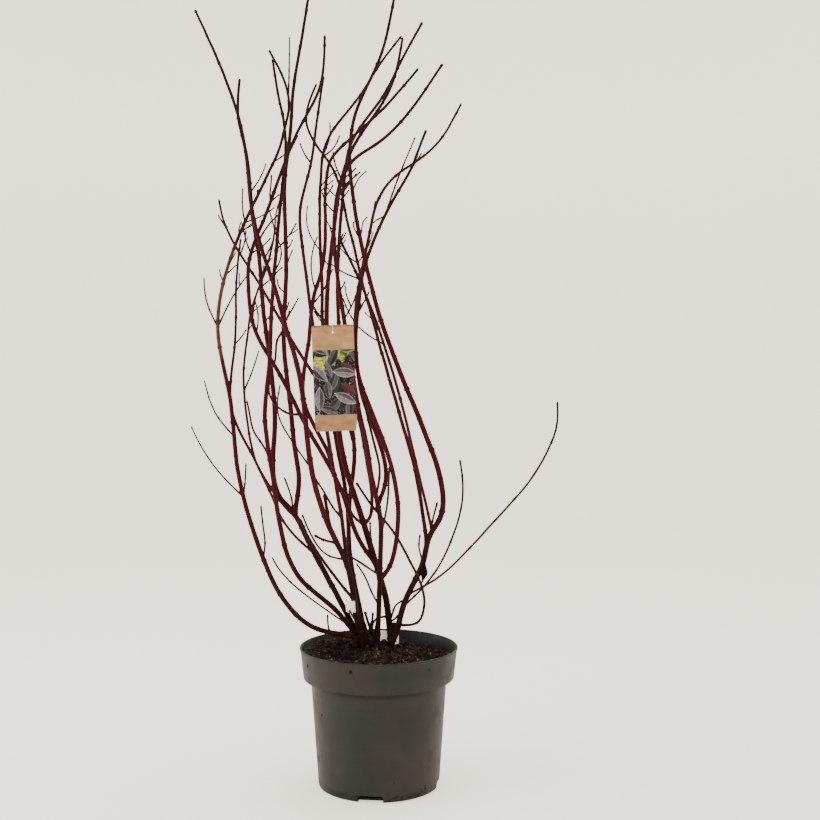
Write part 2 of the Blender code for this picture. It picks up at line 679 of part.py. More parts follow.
def make_tag(stem):
    """The kraft tag that hangs in front of its stem, and the middle of its hole."""
    across, height = TAG_WIDTH / 2 - TAG_CORNER, TAG_LENGTH - TAG_CORNER
    outline = quarter_arc(across, -TAG_CORNER, TAG_CORNER, 0.0)
    outline += quarter_arc(-across, -TAG_CORNER, TAG_CORNER, 0.5)
    outline += quarter_arc(-across, -height, TAG_CORNER, 1.0)
    outline += quarter_arc(across, -height, TAG_CORNER, 1.5)
    card = slab("tag", outline, -TAG_THICK / 2, TAG_THICK / 2)
    hang = Vector(stem) + Vector((TAG_ACROSS, -TAG_AHEAD, TAG_RISE))
    turning = Matrix.Rotation(TAG_TURN, 4, "Y")
    card.data.transform(Matrix.Translation(hang) @ turning)
    hole = np.array(hang + turning @ Vector((0, 0, -TAG_HOLE_DROP)))
    through = np.array([0, TAG_AHEAD / 2, 0])
    cutter = tube("hole", np.array([hole - through, hole + through]), np.full(2, TAG_HOLE_RADIUS), TAG_HOLE_SIDES)
    combine(card, cutter, "DIFFERENCE")
    return card, hole


def make_tie(stem, girth, hole):
    """The thin tie: through the tag's hole, over its top edge and once round the stem."""
    thick = TIE_GIRTH / 2
    wide = girth + thick + TIE_SLACK
    ahead = TAG_THICK / 2 + thick + TIE_SLACK
    low = hole[2] + TAG_HOLE_RADIUS - thick - TIE_SLACK
    top = hole[2] + TAG_HOLE_DROP + thick + TIE_SLACK
    route = [
        (hole[0], hole[1] + ahead, low),
        (hole[0], hole[1] - ahead, low),
        (hole[0] + thick, hole[1] - TIE_BULGE * ahead, (low + top) / 2),
        (hole[0] + 2 * thick, hole[1] - ahead, top),
        (hole[0] + 3 * thick, hole[1] + ahead, top),
    ]
    for k in range(-TIE_STEPS // 3, TIE_STEPS + TIE_STEPS // 2):
        angle = math.pi * k / TIE_STEPS
        route.append((stem[0] + wide * math.cos(angle), stem[1] + wide * math.sin(angle), stem[2]))
    curve = bpy.data.curves.new("tag_tie", "CURVE")
    curve.dimensions = "3D"
    curve.bevel_depth = thick
    curve.bevel_resolution = 1
    strand = curve.splines.new("POLY")
    strand.points.add(len(route) - 1)
    for point, place in zip(strand.points, route):
        point.co = (*place, 1.0)
    strand.use_cyclic_u = True
    tie = bpy.data.objects.new("tag_tie", curve)
    bpy.context.scene.collection.objects.link(tie)
    return tie


def clear_scene():
    """Removes whatever the scene already holds."""
    for obj in list(bpy.data.objects):
        bpy.data.objects.remove(obj)


def make_limb(stem, lines):
    """The stem's boughs, one below each cut, and the spray of twigs above the last."""
    line, radii = lines[stem.name]
    marks = ("lower", "upper") if len(stem.cuts) > 1 else ("",)
    made = []
    for mark, cut in zip(marks, stem.cuts):
        low, (line, radii) = divided(line, radii, cut * MM)
        made.append(tube("_".join(filter(None, ("bough", stem.name, mark))), *low, BOUGH_SIDES))
    return made, (line, radii)


def main():
    """Builds every piece and gives it its finish."""
    clear_scene()
    plastic = finish("dark_plastic", (0.055, 0.054, 0.047), 0.45)
    compost = finish("compost", (0.045, 0.026, 0.015), 0.95)
    bark = finish("red_bark", (0.085, 0.012, 0.014), 0.45)
    twig_bark = finish("twig_bark", (0.05, 0.012, 0.014), 0.5)
    card = finish("kraft_card", (0.42, 0.28, 0.16), 0.85)
    film = finish("tie_film", (0.75, 0.74, 0.72), 0.4)

    lines = {}
    for stem in STEMS + SHOOTS:
        lines[stem.name] = placed(stem, lines)

    pieces = {plastic: [make_pot()], compost: [make_soil()], bark: [], twig_bark: [], card: [], film: []}
    for side, centre, reach in STOOLS:
        borne = [stem for stem in STEMS if stem.stool == side]
        pieces[bark].append(make_stool(f"stool_{side}", borne, lines, centre, reach))
    taken = list(lines.values())
    for seed, stem in enumerate(STEMS):
        boughs, (line, radii) = make_limb(stem, lines)
        pieces[bark] += boughs
        own = [outline_twig(twig, line) for twig in TWIGS if twig.stem == stem.name]
        others = [other for name, other in lines.items() if name != stem.name] + taken[len(lines):]
        own += rule_twigs(line, radii, others + own, seed)
        taken += own
        spray = tube(f"spray_{stem.name}", line, radii, SPRAY_SIDES)
        fuse(spray, [tube("twig", *twig, TWIG_SIDES) for twig in own])
        pieces[twig_bark].append(spray)
    for stem in SHOOTS:
        pieces[twig_bark].append(tube(f"shoot_{stem.name}", *lines[stem.name], SPRAY_SIDES))
    stem_point, girth = at_height(*lines[TAG_STEM], TAG_HEIGHT)
    tag, hole = make_tag(stem_point)
    pieces[card].append(tag)
    pieces[film].append(make_tie(stem_point, girth, hole))
    for material, objects in pieces.items():
        for obj in objects:
            obj.data.materials.clear()
            obj.data.materials.append(material)


main()
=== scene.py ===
"""Potted red-barked dogwood: bark, twigs, buds, compost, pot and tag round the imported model.

Metres, +Z up, the front towards -Y. Canes are drawn as the front view shows them, in
millimetres across and up on the plane through the pot's axis, and are then set back or
forward along the line of sight.
"""

import json
import logging
import math
from dataclasses import dataclass, field
from enum import Enum, IntEnum
from typing import Callable, Sequence

import bpy
import numpy as np
from mathutils import Matrix, Vector

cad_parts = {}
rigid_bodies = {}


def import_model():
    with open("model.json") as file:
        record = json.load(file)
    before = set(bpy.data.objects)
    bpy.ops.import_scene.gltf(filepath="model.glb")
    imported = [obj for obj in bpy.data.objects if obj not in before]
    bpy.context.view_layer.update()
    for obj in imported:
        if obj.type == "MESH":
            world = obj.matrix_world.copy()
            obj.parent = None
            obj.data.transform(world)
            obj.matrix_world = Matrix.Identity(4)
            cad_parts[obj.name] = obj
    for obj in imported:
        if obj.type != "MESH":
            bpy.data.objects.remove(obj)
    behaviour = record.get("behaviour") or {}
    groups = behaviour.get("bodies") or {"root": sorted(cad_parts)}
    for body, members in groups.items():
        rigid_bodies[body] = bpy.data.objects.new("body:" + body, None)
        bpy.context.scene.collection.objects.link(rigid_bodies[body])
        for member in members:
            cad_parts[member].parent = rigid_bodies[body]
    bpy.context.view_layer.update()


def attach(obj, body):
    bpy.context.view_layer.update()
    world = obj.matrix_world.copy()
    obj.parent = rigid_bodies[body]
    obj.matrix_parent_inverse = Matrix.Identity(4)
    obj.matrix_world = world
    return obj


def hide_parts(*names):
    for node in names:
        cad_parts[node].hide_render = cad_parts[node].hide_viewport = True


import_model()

Array = np.ndarray
Material = bpy.types.Material
Pair = tuple[float, float]
Point = tuple[float, float, float]
Colour = Point
Number = "Value | float"
Paint = "Value | Colour"

MM = 0.001
NO_FACES = np.empty((0, 3), int)
VIEWPOINT = np.array([58.0, -2398.0, 817.0]) * MM
LOG = logging.getLogger("dogwood")


class Slot(Enum):
    """The record's material slots."""

    POT = "pot_plastic"
    COMPOST = "compost"
    STEM = "stem_bark"
    TWIG = "twig_bark"
    CARD = "tag_card"
    FILM = "tie_film"


class Wood(Enum):
    """Kinds of bark on a cane, by the look of its wood."""

    RED = "red"
    GREY = "grey"
    TAN = "tan"
    DEAD = "dead"


class Seed(IntEnum):
    """The first seed of each kind of random draw."""

    LUMP, CRUMB, DUST = 11, 12, 13
    CHIP, FIBRE, CLOD, SPECK = 21, 22, 24, 31
    SHOOT, CURL, SLIP, CRUMPLE, SKEW = 40, 41, 43, 44, 45
    STRAND, KNOT, FURROW = 60, 80, 90
    FINER, FINE_TWIG, FINE_BUD, TWIG = 300, 400, 440, 500
    TWIG_BUD, CANE_BUD, SHOOT_BUD = 700, 900, 950


# Shader expressions


def maths(operation: str, flipped: bool = False) -> Callable[..., "Value"]:
    """A method that adds the Math node of an operation, its operands flipped or not.

    Args:
        operation: The Math node's operation.
        flipped: Whether the operands change places.

    Returns:
        The method.
    """

    def result(first: "Value", *second: Number) -> "Value":
        """The operation's result."""
        return first.finish.math(operation, *((*second, first) if flipped else (first, *second)))

    return result


class Value:
    """A shader socket that takes part in arithmetic; each operator adds its Math node."""

    def __init__(self, finish: "Finish", socket: bpy.types.NodeSocket) -> None:
        """Keeps the finish that owns the node and the socket it stands for."""
        self.finish = finish
        self.socket = socket

    __add__ = __radd__ = maths("ADD")
    __mul__ = __rmul__ = maths("MULTIPLY")
    __sub__ = maths("SUBTRACT")
    __rsub__ = maths("SUBTRACT", flipped=True)
    size = maths("ABSOLUTE")
    whole = maths("FLOOR")

    def above(self, edge: float, soft: float) -> "Value":
        """0 below the edge, 1 above it, smooth over a width of twice `soft`."""
        sockets = {"Value": self, "From Min": edge - soft, "From Max": edge + soft}
        return self.finish.node("ShaderNodeMapRange", {"interpolation_type": "SMOOTHSTEP"}, sockets)


class Finish:
    """A material under construction: its principled shader and the nodes that feed it."""

    def __init__(self, name: str) -> None:
        """Makes an empty node material of that name.

        Args:
            name: The material's name.
        """
        self.material = bpy.data.materials.new(name)
        self.material.use_nodes = True
        self.tree = self.material.node_tree
        self.shader = self.tree.nodes["Principled BSDF"]

    def node(
        self, kind: str, settings: dict | None = None, sockets: dict | None = None, output: int | str = 0
    ) -> Value:
        """Adds a node.

        Args:
            kind: The node's type.
            settings: Properties to set first.
            sockets: Values or links by socket name or number.
            output: Which of the node's outputs is wanted.

        Returns:
            The output as an expression.
        """
        node = self.tree.nodes.new(kind)
        for key, value in (settings or {}).items():
            setattr(node, key, value)
        for key, value in (sockets or {}).items():
            self._feed(node.inputs[key], value)
        return Value(self, node.outputs[output])

    def _feed(self, socket: bpy.types.NodeSocket, value: object) -> None:
        """Links an expression to a socket, or sets the socket's own value.

        Args:
            socket: The socket.
            value: An expression, a colour or a number.
        """
        if isinstance(value, Value):
            self.tree.links.new(value.socket, socket)
        elif isinstance(value, tuple) and len(value) == 3 and socket.type == "RGBA":
            socket.default_value = (*value, 1.0)
        else:
            socket.default_value = value

    def math(self, operation: str, *values: Number) -> Value:
        """One Math node on values or numbers."""
        return self.node("ShaderNodeMath", {"operation": operation}, dict(enumerate(values)))

    def mix(self, share: Number, first: Paint, second: Paint, blend: str = "MIX") -> Value:
        """The colour between two others by a share."""
        settings = {"data_type": "RGBA", "blend_type": blend}
        return self.node("ShaderNodeMix", settings, {"Factor": share, 6: first, 7: second}, 2)

    def tint(self, colour: Paint, by: Paint) -> Value:
        """A colour multiplied by another."""
        return self.mix(1.0, colour, by, "MULTIPLY")

    def ramp(self, value: Value, *stops: tuple[float, Colour]) -> Value:
        """A colour that follows a value through stops, each a place and a colour.

        Args:
            value: The value that is followed.
            *stops: The stops, in rising order.

        Returns:
            The colour.
        """
        colour = self.node("ShaderNodeValToRGB", None, {0: value})
        elements = colour.socket.node.color_ramp.elements
        while len(elements) < len(stops):
            elements.new(1.0)
        for element, (place, tone) in zip(elements, stops):
            element.position = place
            element.color = (*tone, 1.0)
        return colour

    def shade(self, value: Value, dark: float, light: float, start: float = 0.3, end: float = 0.7) -> Value:
        """A grey that follows a value from one tone at its start to another at its end."""
        return self.ramp(value, (start, (dark,) * 3), (end, (light,) * 3))

    def place(self) -> Value:
        """The point on the object, in metres."""
        return self.node("ShaderNodeTexCoord", output="Object")

    def attribute(self, name: str, output: str = "Fac") -> Value:
        """A value, or a vector, kept on the mesh's points."""
        return self.node("ShaderNodeAttribute", {"attribute_name": name}, output=output)

    def noise(self, at: Value, scale: float, detail: float = 3.0, rough: float = 0.55) -> Value:
        """Soft noise from 0 to 1."""
        sockets = {"Vector": at, "Scale": scale, "Detail": detail, "Roughness": rough}
        return self.node("ShaderNodeTexNoise", None, sockets)

    def cells(self, at: Value, scale: float) -> Value:
        """Distance within scattered cells."""
        return self.node("ShaderNodeTexVoronoi", None, {"Vector": at, "Scale": scale})

    def stretched(self, at: Value, scale: Colour) -> Value:
        """A vector scaled by axis."""
        return self.node("ShaderNodeVectorMath", {"operation": "MULTIPLY"}, {0: at, 1: scale})

    def parts(self, at: Value) -> list[Value]:
        """A vector's three numbers."""
        node = self.node("ShaderNodeSeparateXYZ", None, {0: at}).socket.node
        return [Value(self, output) for output in node.outputs]

    def bump(self, height: Value, distance: float, strength: float = 1.0) -> None:
        """Raises the surface by a height from 0 to 1 over a distance in metres."""
        sockets = {"Height": height, "Distance": distance, "Strength": strength}
        self.dress(Normal=self.node("ShaderNodeBump", None, sockets))

    def dress(self, **sockets: object) -> None:
        """Sets or feeds the principled shader's sockets; an underscore stands for a space."""
        for key, value in sockets.items():
            self._feed(self.shader.inputs[key.replace("_", " ")], value)


# Finishes


@dataclass(frozen=True)
class Look:
    """A finish with a name; each kind adds nodes of its own to the material."""

    name: str

    def material(self) -> Material:
        """Builds the material.

        Returns:
            The material, its nodes in place.
        """
        finish = Finish(self.name)
        self.feed(finish)
        return finish.material


@dataclass(frozen=True)
class BarkFinish(Look):
    """Bark of a cane, from its old foot to its young tip.

    The mesh carries `age` (0 at the foot, 1 at the tip), `bud` (1 at a bud or its scar),
    `tan` (1 where the bark has weathered tan) and `grain` (the surface rolled out in metres).
    """

    foot: Colour
    middle: Colour
    upper: Colour
    tip: Colour
    tan: Colour = (0.09, 0.038, 0.022)
    scar: Colour = (0.022, 0.01, 0.009)
    pore: Colour = (0.13, 0.07, 0.05)
    streak_scale: float = 900.0
    relief: float = 0.35 * MM

    def feed(self, finish: Finish) -> None:
        """Bark with lengthwise streaks, pale pores, dark bud scars and a soft gloss.

        Args:
            finish: The material under construction.
        """
        grain = finish.attribute("grain", "Vector")
        tones = zip((0.0, 0.12, 0.3, 0.62, 0.95), (self.foot, self.foot, self.middle, self.upper, self.tip))
        base = finish.ramp(finish.attribute("age"), *tones)
        base = finish.mix(finish.attribute("tan"), base, self.tan)
        streaks = finish.noise(finish.stretched(grain, (1.0, 1.0, 0.09)), self.streak_scale, 4.0)
        mottle = finish.noise(grain, 55.0)
        shade = finish.ramp(streaks * 0.6 + mottle * 0.4, (0.3, (0.5, 0.5, 0.5)), (0.7, (1.45, 1.4, 1.4)))
        pores = finish.cells(finish.stretched(grain, (1.0, 1.0, 0.45)), 330.0)
        spots = (1.0 - pores.above(0.17, 0.06)) * finish.noise(grain, 210.0, 1.0).above(0.52, 0.05)
        base = finish.mix(spots * 0.55, finish.tint(base, shade), self.pore)
        base = finish.mix(finish.attribute("bud") * 0.6, base, self.scar)
        finish.dress(Base_Color=base, Roughness=0.42 + streaks * 0.24, Specular_IOR_Level=0.03)
        finish.bump(streaks * 0.7 + spots * 0.3, self.relief, 0.6)


@dataclass(frozen=True)
class TwigFinish(Look):
    """Thin young bark of one plain colour."""

    colour: Colour
    gloss: float = 0.42

    def feed(self, finish: Finish) -> None:
        """Plain coloured bark with fine relief and an uneven gloss.

        Args:
            finish: The material under construction.
        """
        grain = finish.noise(finish.place(), 1400.0)
        finish.dress(Base_Color=self.colour, Roughness=self.gloss + grain * 0.2, Specular_IOR_Level=0.03)
        finish.bump(grain, 0.2 * MM, 0.5)


@dataclass(frozen=True)
class PlasticFinish(Look):
    """Dark recycled nursery plastic, with painted shade in the corner under the collar's step."""

    body: Colour = (0.0152, 0.0162, 0.0155)
    dust: Colour = (0.048, 0.043, 0.036)
    soil: Colour = (0.0045, 0.0033, 0.0027)
    # painted shade: the near-black colour of the band just under the collar's step
    painted_step_shade: Colour = (0.0025, 0.002, 0.0018)
    stain: Colour = (0.027, 0.022, 0.017)
    step_height: float = 201.5 * MM
    foot_height: float = 17.0 * MM

    def feed(self, finish: Finish) -> None:
        """Semi-gloss plastic with faint flow marks, dust, stains, soil smears and painted shade under the
        step.

        Args:
            finish: The material under construction.
        """
        at = finish.place()
        height = finish.parts(at)[2]
        clouds = finish.noise(at, 11.0, 4.0, 0.6)
        rings = finish.noise(finish.stretched(at, (2.0, 2.0, 60.0)), 3.0, 4.0)
        fine = finish.noise(at, 700.0)
        base = finish.tint(self.body, finish.shade(clouds * 0.7 + rings * 0.3, 0.82, 1.22))
        base = finish.mix(finish.noise(at, 8.0).above(0.56, 0.1) * 0.45, base, self.stain)
        dusty = finish.noise(at, 38.0, 5.0, 0.65).above(0.58, 0.1)
        base = finish.mix(dusty * 0.08, base, self.dust)
        low = 1.0 - height.above(self.foot_height, self.foot_height)
        splash = finish.noise(finish.stretched(at, (1.0, 1.0, 1.3)), 110.0, 6.0, 0.75)
        base = finish.mix((splash * 0.6 + low * 0.35).above(0.56, 0.05) * 0.4, base, self.dust)
        base = finish.mix((splash * 0.8 + low * 0.34).above(0.66, 0.04) * 0.9, base, self.soil)
        # painted shade: a dark band on the body just under the collar's step, mottled by the clouds
        under = 1.0 - height.above(self.step_height, 0.6 * MM)
        under = height.above(self.step_height - 9.0 * MM, 5.0 * MM) * under
        base = finish.mix(under * (0.4 + clouds * 0.6), base, self.painted_step_shade)
        specks = 1.0 - finish.cells(at, 62.0).above(0.075, 0.02)
        base = finish.mix(specks * finish.noise(at, 17.0, 1.0).above(0.55, 0.03) * 0.75, base, self.soil)
        rough = 0.4 + fine * 0.1 + dusty * 0.14 + clouds * 0.08
        finish.dress(Base_Color=base, Roughness=rough, Specular_IOR_Level=0.14)
        finish.bump(fine * 0.3 + rings * 0.7, 0.25 * MM, 0.5)


@dataclass(frozen=True)
class CompostFinish(Look):
    """Moist peat: near-black crumbs with paler fibres and bark dust."""

    dark: Colour = (0.0025, 0.0012, 0.0011)
    brown: Colour = (0.024, 0.011, 0.008)
    pale: Colour = (0.14, 0.09, 0.065)

    def feed(self, finish: Finish) -> None:
        """A matt crumbly brown.

        Args:
            finish: The material under construction.
        """
        at = finish.place()
        lumps, crumbs = finish.noise(at, 90.0, 6.0, 0.65), finish.cells(at, 420.0)
        base = finish.ramp(lumps, (0.4, self.dark), (0.56, self.brown), (0.72, self.pale))
        base = finish.tint(base, finish.shade(crumbs, 1.3, 0.45, 0.0, 0.75))
        finish.dress(Base_Color=base, Roughness=0.93, Specular_IOR_Level=0.2)
        finish.bump(lumps * 0.4 + (1.0 - crumbs) * 0.6, 2.0 * MM)


@dataclass(frozen=True)
class LeafLayer:
    """One layer of a printed leaf pattern: a leaf to each square, turned at random."""

    step: float
    shift: Pair
    dark: Colour
    light: Colour


@dataclass(frozen=True)
class KraftFinish(Look):
    """Uncoated brown card with fibres; its middle carries a plain printed leaf pattern."""

    centre: Colour
    turn: float
    panel_low: float
    panel_high: float
    card: Colour = (0.35, 0.2, 0.1)
    fibre: Colour = (0.13, 0.07, 0.04)
    smudge: Colour = (0.05, 0.035, 0.025)
    meadow: Colour = (0.26, 0.3, 0.04)
    dusk: Colour = (0.004, 0.005, 0.005)
    glint: Colour = (0.22, 0.22, 0.2)
    wine: Colour = (0.06, 0.006, 0.01)
    layers: tuple[LeafLayer, ...] = (
        LeafLayer(30.0 * MM, (0.31, 0.12), (0.004, 0.005, 0.006), (0.045, 0.05, 0.052)),
        LeafLayer(41.0 * MM, (0.55, 0.85), (0.006, 0.006, 0.008), (0.1, 0.1, 0.11)),
        LeafLayer(35.0 * MM, (0.82, 0.63), (0.009, 0.007, 0.012), (0.16, 0.135, 0.165)),
        LeafLayer(44.0 * MM, (0.1, 0.35), (0.013, 0.011, 0.015), (0.27, 0.25, 0.28)),
    )

    def feed(self, finish: Finish) -> None:
        """The card with its creases, fibres, worn top edge, painted shade towards its bottom and printed
        panel.

        Args:
            finish: The material under construction.
        """
        at = finish.place()
        sockets = {"Vector": at, "Location": self.centre, "Rotation": (0.0, self.turn, 0.0)}
        across, _, up = finish.parts(finish.node("ShaderNodeMapping", {"vector_type": "TEXTURE"}, sockets))
        fibres = finish.noise(finish.stretched(at, (0.4, 1.0, 1.0)), 620.0, 5.0, 0.7)
        creases = finish.noise(finish.stretched(at, (0.6, 1.0, 1.3)), 75.0, 4.0, 0.6)
        card = finish.tint(self.card, finish.shade(creases, 0.66, 1.2))
        # painted shade: the card darkened towards its bottom, from 1.03 at the top down to 0.8
        card = finish.tint(card, finish.shade(1.0 + up * 5.5, 0.8, 1.03, 0.0, 1.0))
        card = finish.mix(fibres.above(0.64, 0.07) * 0.4, card, self.fibre)
        worn = up.above(-3.5 * MM, 3.5 * MM) * creases.above(0.5, 0.06)
        card = finish.mix(worn * 0.75, card, self.smudge)
        panel = up.above(self.panel_low, 0.1 * MM) * (1.0 - up.above(self.panel_high, 0.1 * MM))
        card = finish.mix(panel, card, self._print(finish, across, up, at))
        finish.dress(Base_Color=card, Roughness=0.82 - panel * 0.2, Specular_IOR_Level=0.1)
        finish.bump(fibres * 0.5 + creases * 0.5, 0.3 * MM, 0.6)

    def _print(self, finish: Finish, across: Value, up: Value, at: Value) -> Value:
        """The printed panel: leaves in layers over a dark ground that clears to yellow-green.

        Args:
            finish: The finish that owns the nodes.
            across: Distance across the card in metres.
            up: Distance up the card in metres.
            at: The point on the object.

        Returns:
            The panel's colour.
        """
        height = (up - self.panel_low) * (1.0 / (self.panel_high - self.panel_low))
        clear = (height + finish.noise(at, 85.0, 5.0, 0.65) * 0.9 - across * 6.0).above(1.27, 0.1)
        back = finish.mix(finish.noise(at, 430.0).above(0.62, 0.04) * 0.8, self.dusk, self.glint)
        patches = finish.shade(finish.noise(at, 260.0, 4.0, 0.7), 0.12, 1.9, 0.36, 0.62)
        back = finish.tint(finish.mix(clear, back, self.meadow), patches)
        mottle = finish.shade(finish.noise(at, 330.0, 4.0, 0.7), 0.45, 1.5)
        for layer in self.layers:
            leaf, light, pick = self._leaves(finish, layer, across, up)
            tone = finish.tint(finish.mix(light, layer.dark, layer.light), mottle)
            tone = finish.mix(pick.above(0.9, 0.01) * 0.8, tone, self.wine)
            back = finish.mix(leaf * (1.0 - clear * pick.above(0.45, 0.01)), back, tone)
        return back

    @staticmethod
    def _leaves(finish: Finish, layer: LeafLayer, across: Value, up: Value) -> tuple[Value, Value, Value]:
        """A layer's leaves: in each square p runs across the leaf and q along it.

        The leaf shows where |p| is less than 0.19 (1 - (2.1 q) squared); one half is lighter, a
        pale rib runs down the middle and veins slant from it.

        Args:
            finish: The finish that owns the nodes.
            layer: The layer.
            across: Distance across the card in metres.
            up: Distance up the card in metres.

        Returns:
            Where a leaf shows, how light it is there, and its square's random number.
        """
        x = across * (1.0 / layer.step) + (layer.shift[0] + 20.0)
        z = up * (1.0 / layer.step) + (layer.shift[1] + 20.0)
        square = finish.node("ShaderNodeCombineXYZ", None, {0: x.whole(), 1: z.whole()})
        pick = finish.node("ShaderNodeTexWhiteNoise", {"noise_dimensions": "2D"}, {"Vector": square})
        angle = pick * 5.0 + layer.shift[0] * 3.0
        x, z = x - x.whole() - 0.5, z - z.whole() - 0.5
        cosine, sine = finish.math("COSINE", angle), finish.math("SINE", angle)
        p, q = x * cosine + z * sine, z * cosine - x * sine
        side, long = p.size(), q * 2.1
        inside = (1.0 - long * long) * 0.19 - side
        leaf = inside.above(0.0, 0.015)
        rib = 1.0 - side.above(0.014, 0.01)
        veins = finish.math("SINE", (side + q * 0.7) * 75.0).above(0.6, 0.4)
        rim = leaf - inside.above(0.03, 0.02)
        light = p.above(0.0, 0.02) * 0.3 + veins * 0.14 + rib * 0.3 + rim * 0.55 + pick * 0.12
        return leaf, light, pick


@dataclass(frozen=True)
class FilmFinish(Look):
    """Thin white plastic film or coated paper; a faint painted glow stands in for the light it lets through.
    """

    colour: Colour = (0.9, 0.87, 0.87)
    # painted light: the colour of the film's glow
    glow: Colour = (1.0, 0.94, 0.95)
    rough: float = 0.4
    stain: Colour = (0.5, 0.3, 0.36)
    painted_glow_strength: float = 0.22

    def feed(self, finish: Finish) -> None:
        """A soft white with faint creases and stains, and a faint painted glow.

        Args:
            finish: The material under construction.
        """
        creases = finish.noise(finish.place(), 240.0, 4.0)
        base = finish.tint(self.colour, finish.shade(creases, 0.86, 1.0))
        base = finish.mix(finish.noise(finish.place(), 330.0, 2.0).above(0.62, 0.06) * 0.5, base, self.stain)
        finish.dress(Base_Color=base, Roughness=self.rough, Specular_IOR_Level=0.3)
        # painted light: a faint even glow that stands in for light shining through the film
        finish.dress(Emission_Color=self.glow, Emission_Strength=self.painted_glow_strength)
        finish.bump(creases, 0.3 * MM, 0.5)


# Meshes


@dataclass
class Shell:
    """Closed surfaces gathered for one mesh: points, faces, face finishes and point values."""

    points: list[Array] = field(default_factory=list)
    quads: list[Array] = field(default_factory=list)
    triangles: list[Array] = field(default_factory=list)
    quad_finish: list[Array] = field(default_factory=list)
    triangle_finish: list[Array] = field(default_factory=list)
    values: dict[str, list[Array]] = field(default_factory=dict)
    count: int = 0

    def add(
        self, points: Array, quads: Array, triangles: Array = NO_FACES, finish: int = 0, **values: Array
    ) -> None:
        """Adds one closed surface.

        Args:
            points: Its points.
            quads: Its four-sided faces, numbered from 0.
            triangles: Its three-sided faces, numbered from 0.
            finish: The number of its material.
            **values: Point values by name.
        """
        self.points.append(points)
        self.quads.append(quads.reshape(-1, 4) + self.count)
        self.triangles.append(triangles.reshape(-1, 3) + self.count)
        self.quad_finish.append(np.full(len(self.quads[-1]), finish))
        self.triangle_finish.append(np.full(len(self.triangles[-1]), finish))
        for name, value in values.items():
            self.values.setdefault(name, []).append(value)
        self.count += len(points)

    def add_copies(self, points: Array, quads: Array, triangles: Array = NO_FACES, finish: int = 0) -> None:
        """Adds copies of one surface, their points given as (copies, points, 3)."""
        start = (np.arange(len(points)) * points.shape[1])[:, None, None]
        self.add(points.reshape(-1, 3), quads + start, triangles + start, finish)

    def piece(self, name: str, slot: Slot | None, materials: Sequence[Material]) -> bpy.types.Object:
        """Makes the mesh object.

        Args:
            name: The piece's name.
            slot: The record's material slot, or None on the stage.
            materials: The finishes that its faces are numbered by.

        Returns:
            The smooth-shaded object, riding on the plant's one body.
        """
        points = np.concatenate(self.points).astype(np.float32)
        quads, triangles = np.concatenate(self.quads), np.concatenate(self.triangles)
        corners = np.concatenate([quads.ravel(), triangles.ravel()]).astype(np.int32)
        totals = np.concatenate([np.full(len(quads), 4), np.full(len(triangles), 3)]).astype(np.int32)
        mesh = bpy.data.meshes.new(name)
        mesh.vertices.add(len(points))
        mesh.vertices.foreach_set("co", points.ravel())
        mesh.loops.add(len(corners))
        mesh.loops.foreach_set("vertex_index", corners)
        mesh.polygons.add(len(totals))
        mesh.polygons.foreach_set("loop_start", (np.cumsum(totals) - totals).astype(np.int32))
        finishes = np.concatenate(self.quad_finish + self.triangle_finish).astype(np.int32)
        mesh.polygons.foreach_set("material_index", finishes)
        mesh.update(calc_edges=True)
        mesh.validate()
        mesh.shade_smooth()
        for key, pieces in self.values.items():
            value = np.concatenate(pieces).astype(np.float32)
            kind, item = ("FLOAT_VECTOR", "vector") if value.ndim == 2 else ("FLOAT", "value")
            mesh.attributes.new(key, kind, "POINT").data.foreach_set(item, value.ravel())
        for material in materials:
            mesh.materials.append(material)
        obj = linked(name, mesh)
        if slot is not None:
            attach(obj, "root")
        LOG.info("%s: %d faces", name, len(totals))
        return obj


def linked(name: str, data: bpy.types.ID) -> bpy.types.Object:
    """An object of that data, placed in the scene.

    Args:
        name: The object's name.
        data: Its mesh, lamp or camera.

    Returns:
        The object.
    """
    obj = bpy.data.objects.new(name, data)
    bpy.context.scene.collection.objects.link(obj)
    return obj


def grid_faces(rows: int, columns: int, closed: bool = True) -> Array:
    """The quads of a grid, closed round its columns or open, facing outwards on a tube.

    Args:
        rows: How many rows of points there are.
        columns: How many points a row has.
        closed: Whether the last column joins the first.

    Returns:
        The quads, as (n, 4).
    """
    low, column = np.arange(rows - 1)[:, None] * columns, np.arange(columns if closed else columns - 1)[None]
    high, after = low + columns, (column + 1) % columns
    corners = np.broadcast_arrays(low + column, low + after, high + after, high + column)
    return np.stack(corners, axis=-1).reshape(-1, 4)


def band(ring: Array, count: int) -> Array:
    """The quads between a ring of points and the same ring `count` points on."""
    after = np.roll(ring, -1)
    return np.column_stack([ring, after, after + count, ring + count])


def fan(pole: int, ring: Array, outward: bool) -> Array:
    """Triangles from a pole to a ring of points.

    Args:
        pole: The pole's number.
        ring: The ring's numbers.
        outward: Whether the triangles run with the ring or against it.

    Returns:
        The triangles, as (n, 3).
    """
    after = np.roll(ring, -1)
    first, second = (ring, after) if outward else (after, ring)
    return np.column_stack([np.full(len(ring), pole), first, second])


def around(radius: Array, height: Array, sides: int) -> Array:
    """Rings about the upright axis, one for each radius and height, as (rows, sides, 3).

    Args:
        radius: The rings' radii.
        height: Their heights.
        sides: How many points a ring has.

    Returns:
        The points.
    """
    turn = np.arange(sides) * 2 * math.pi / sides
    parts = radius[:, None] * np.cos(turn), radius[:, None] * np.sin(turn), height[:, None]
    return np.stack(np.broadcast_arrays(*parts), axis=-1)


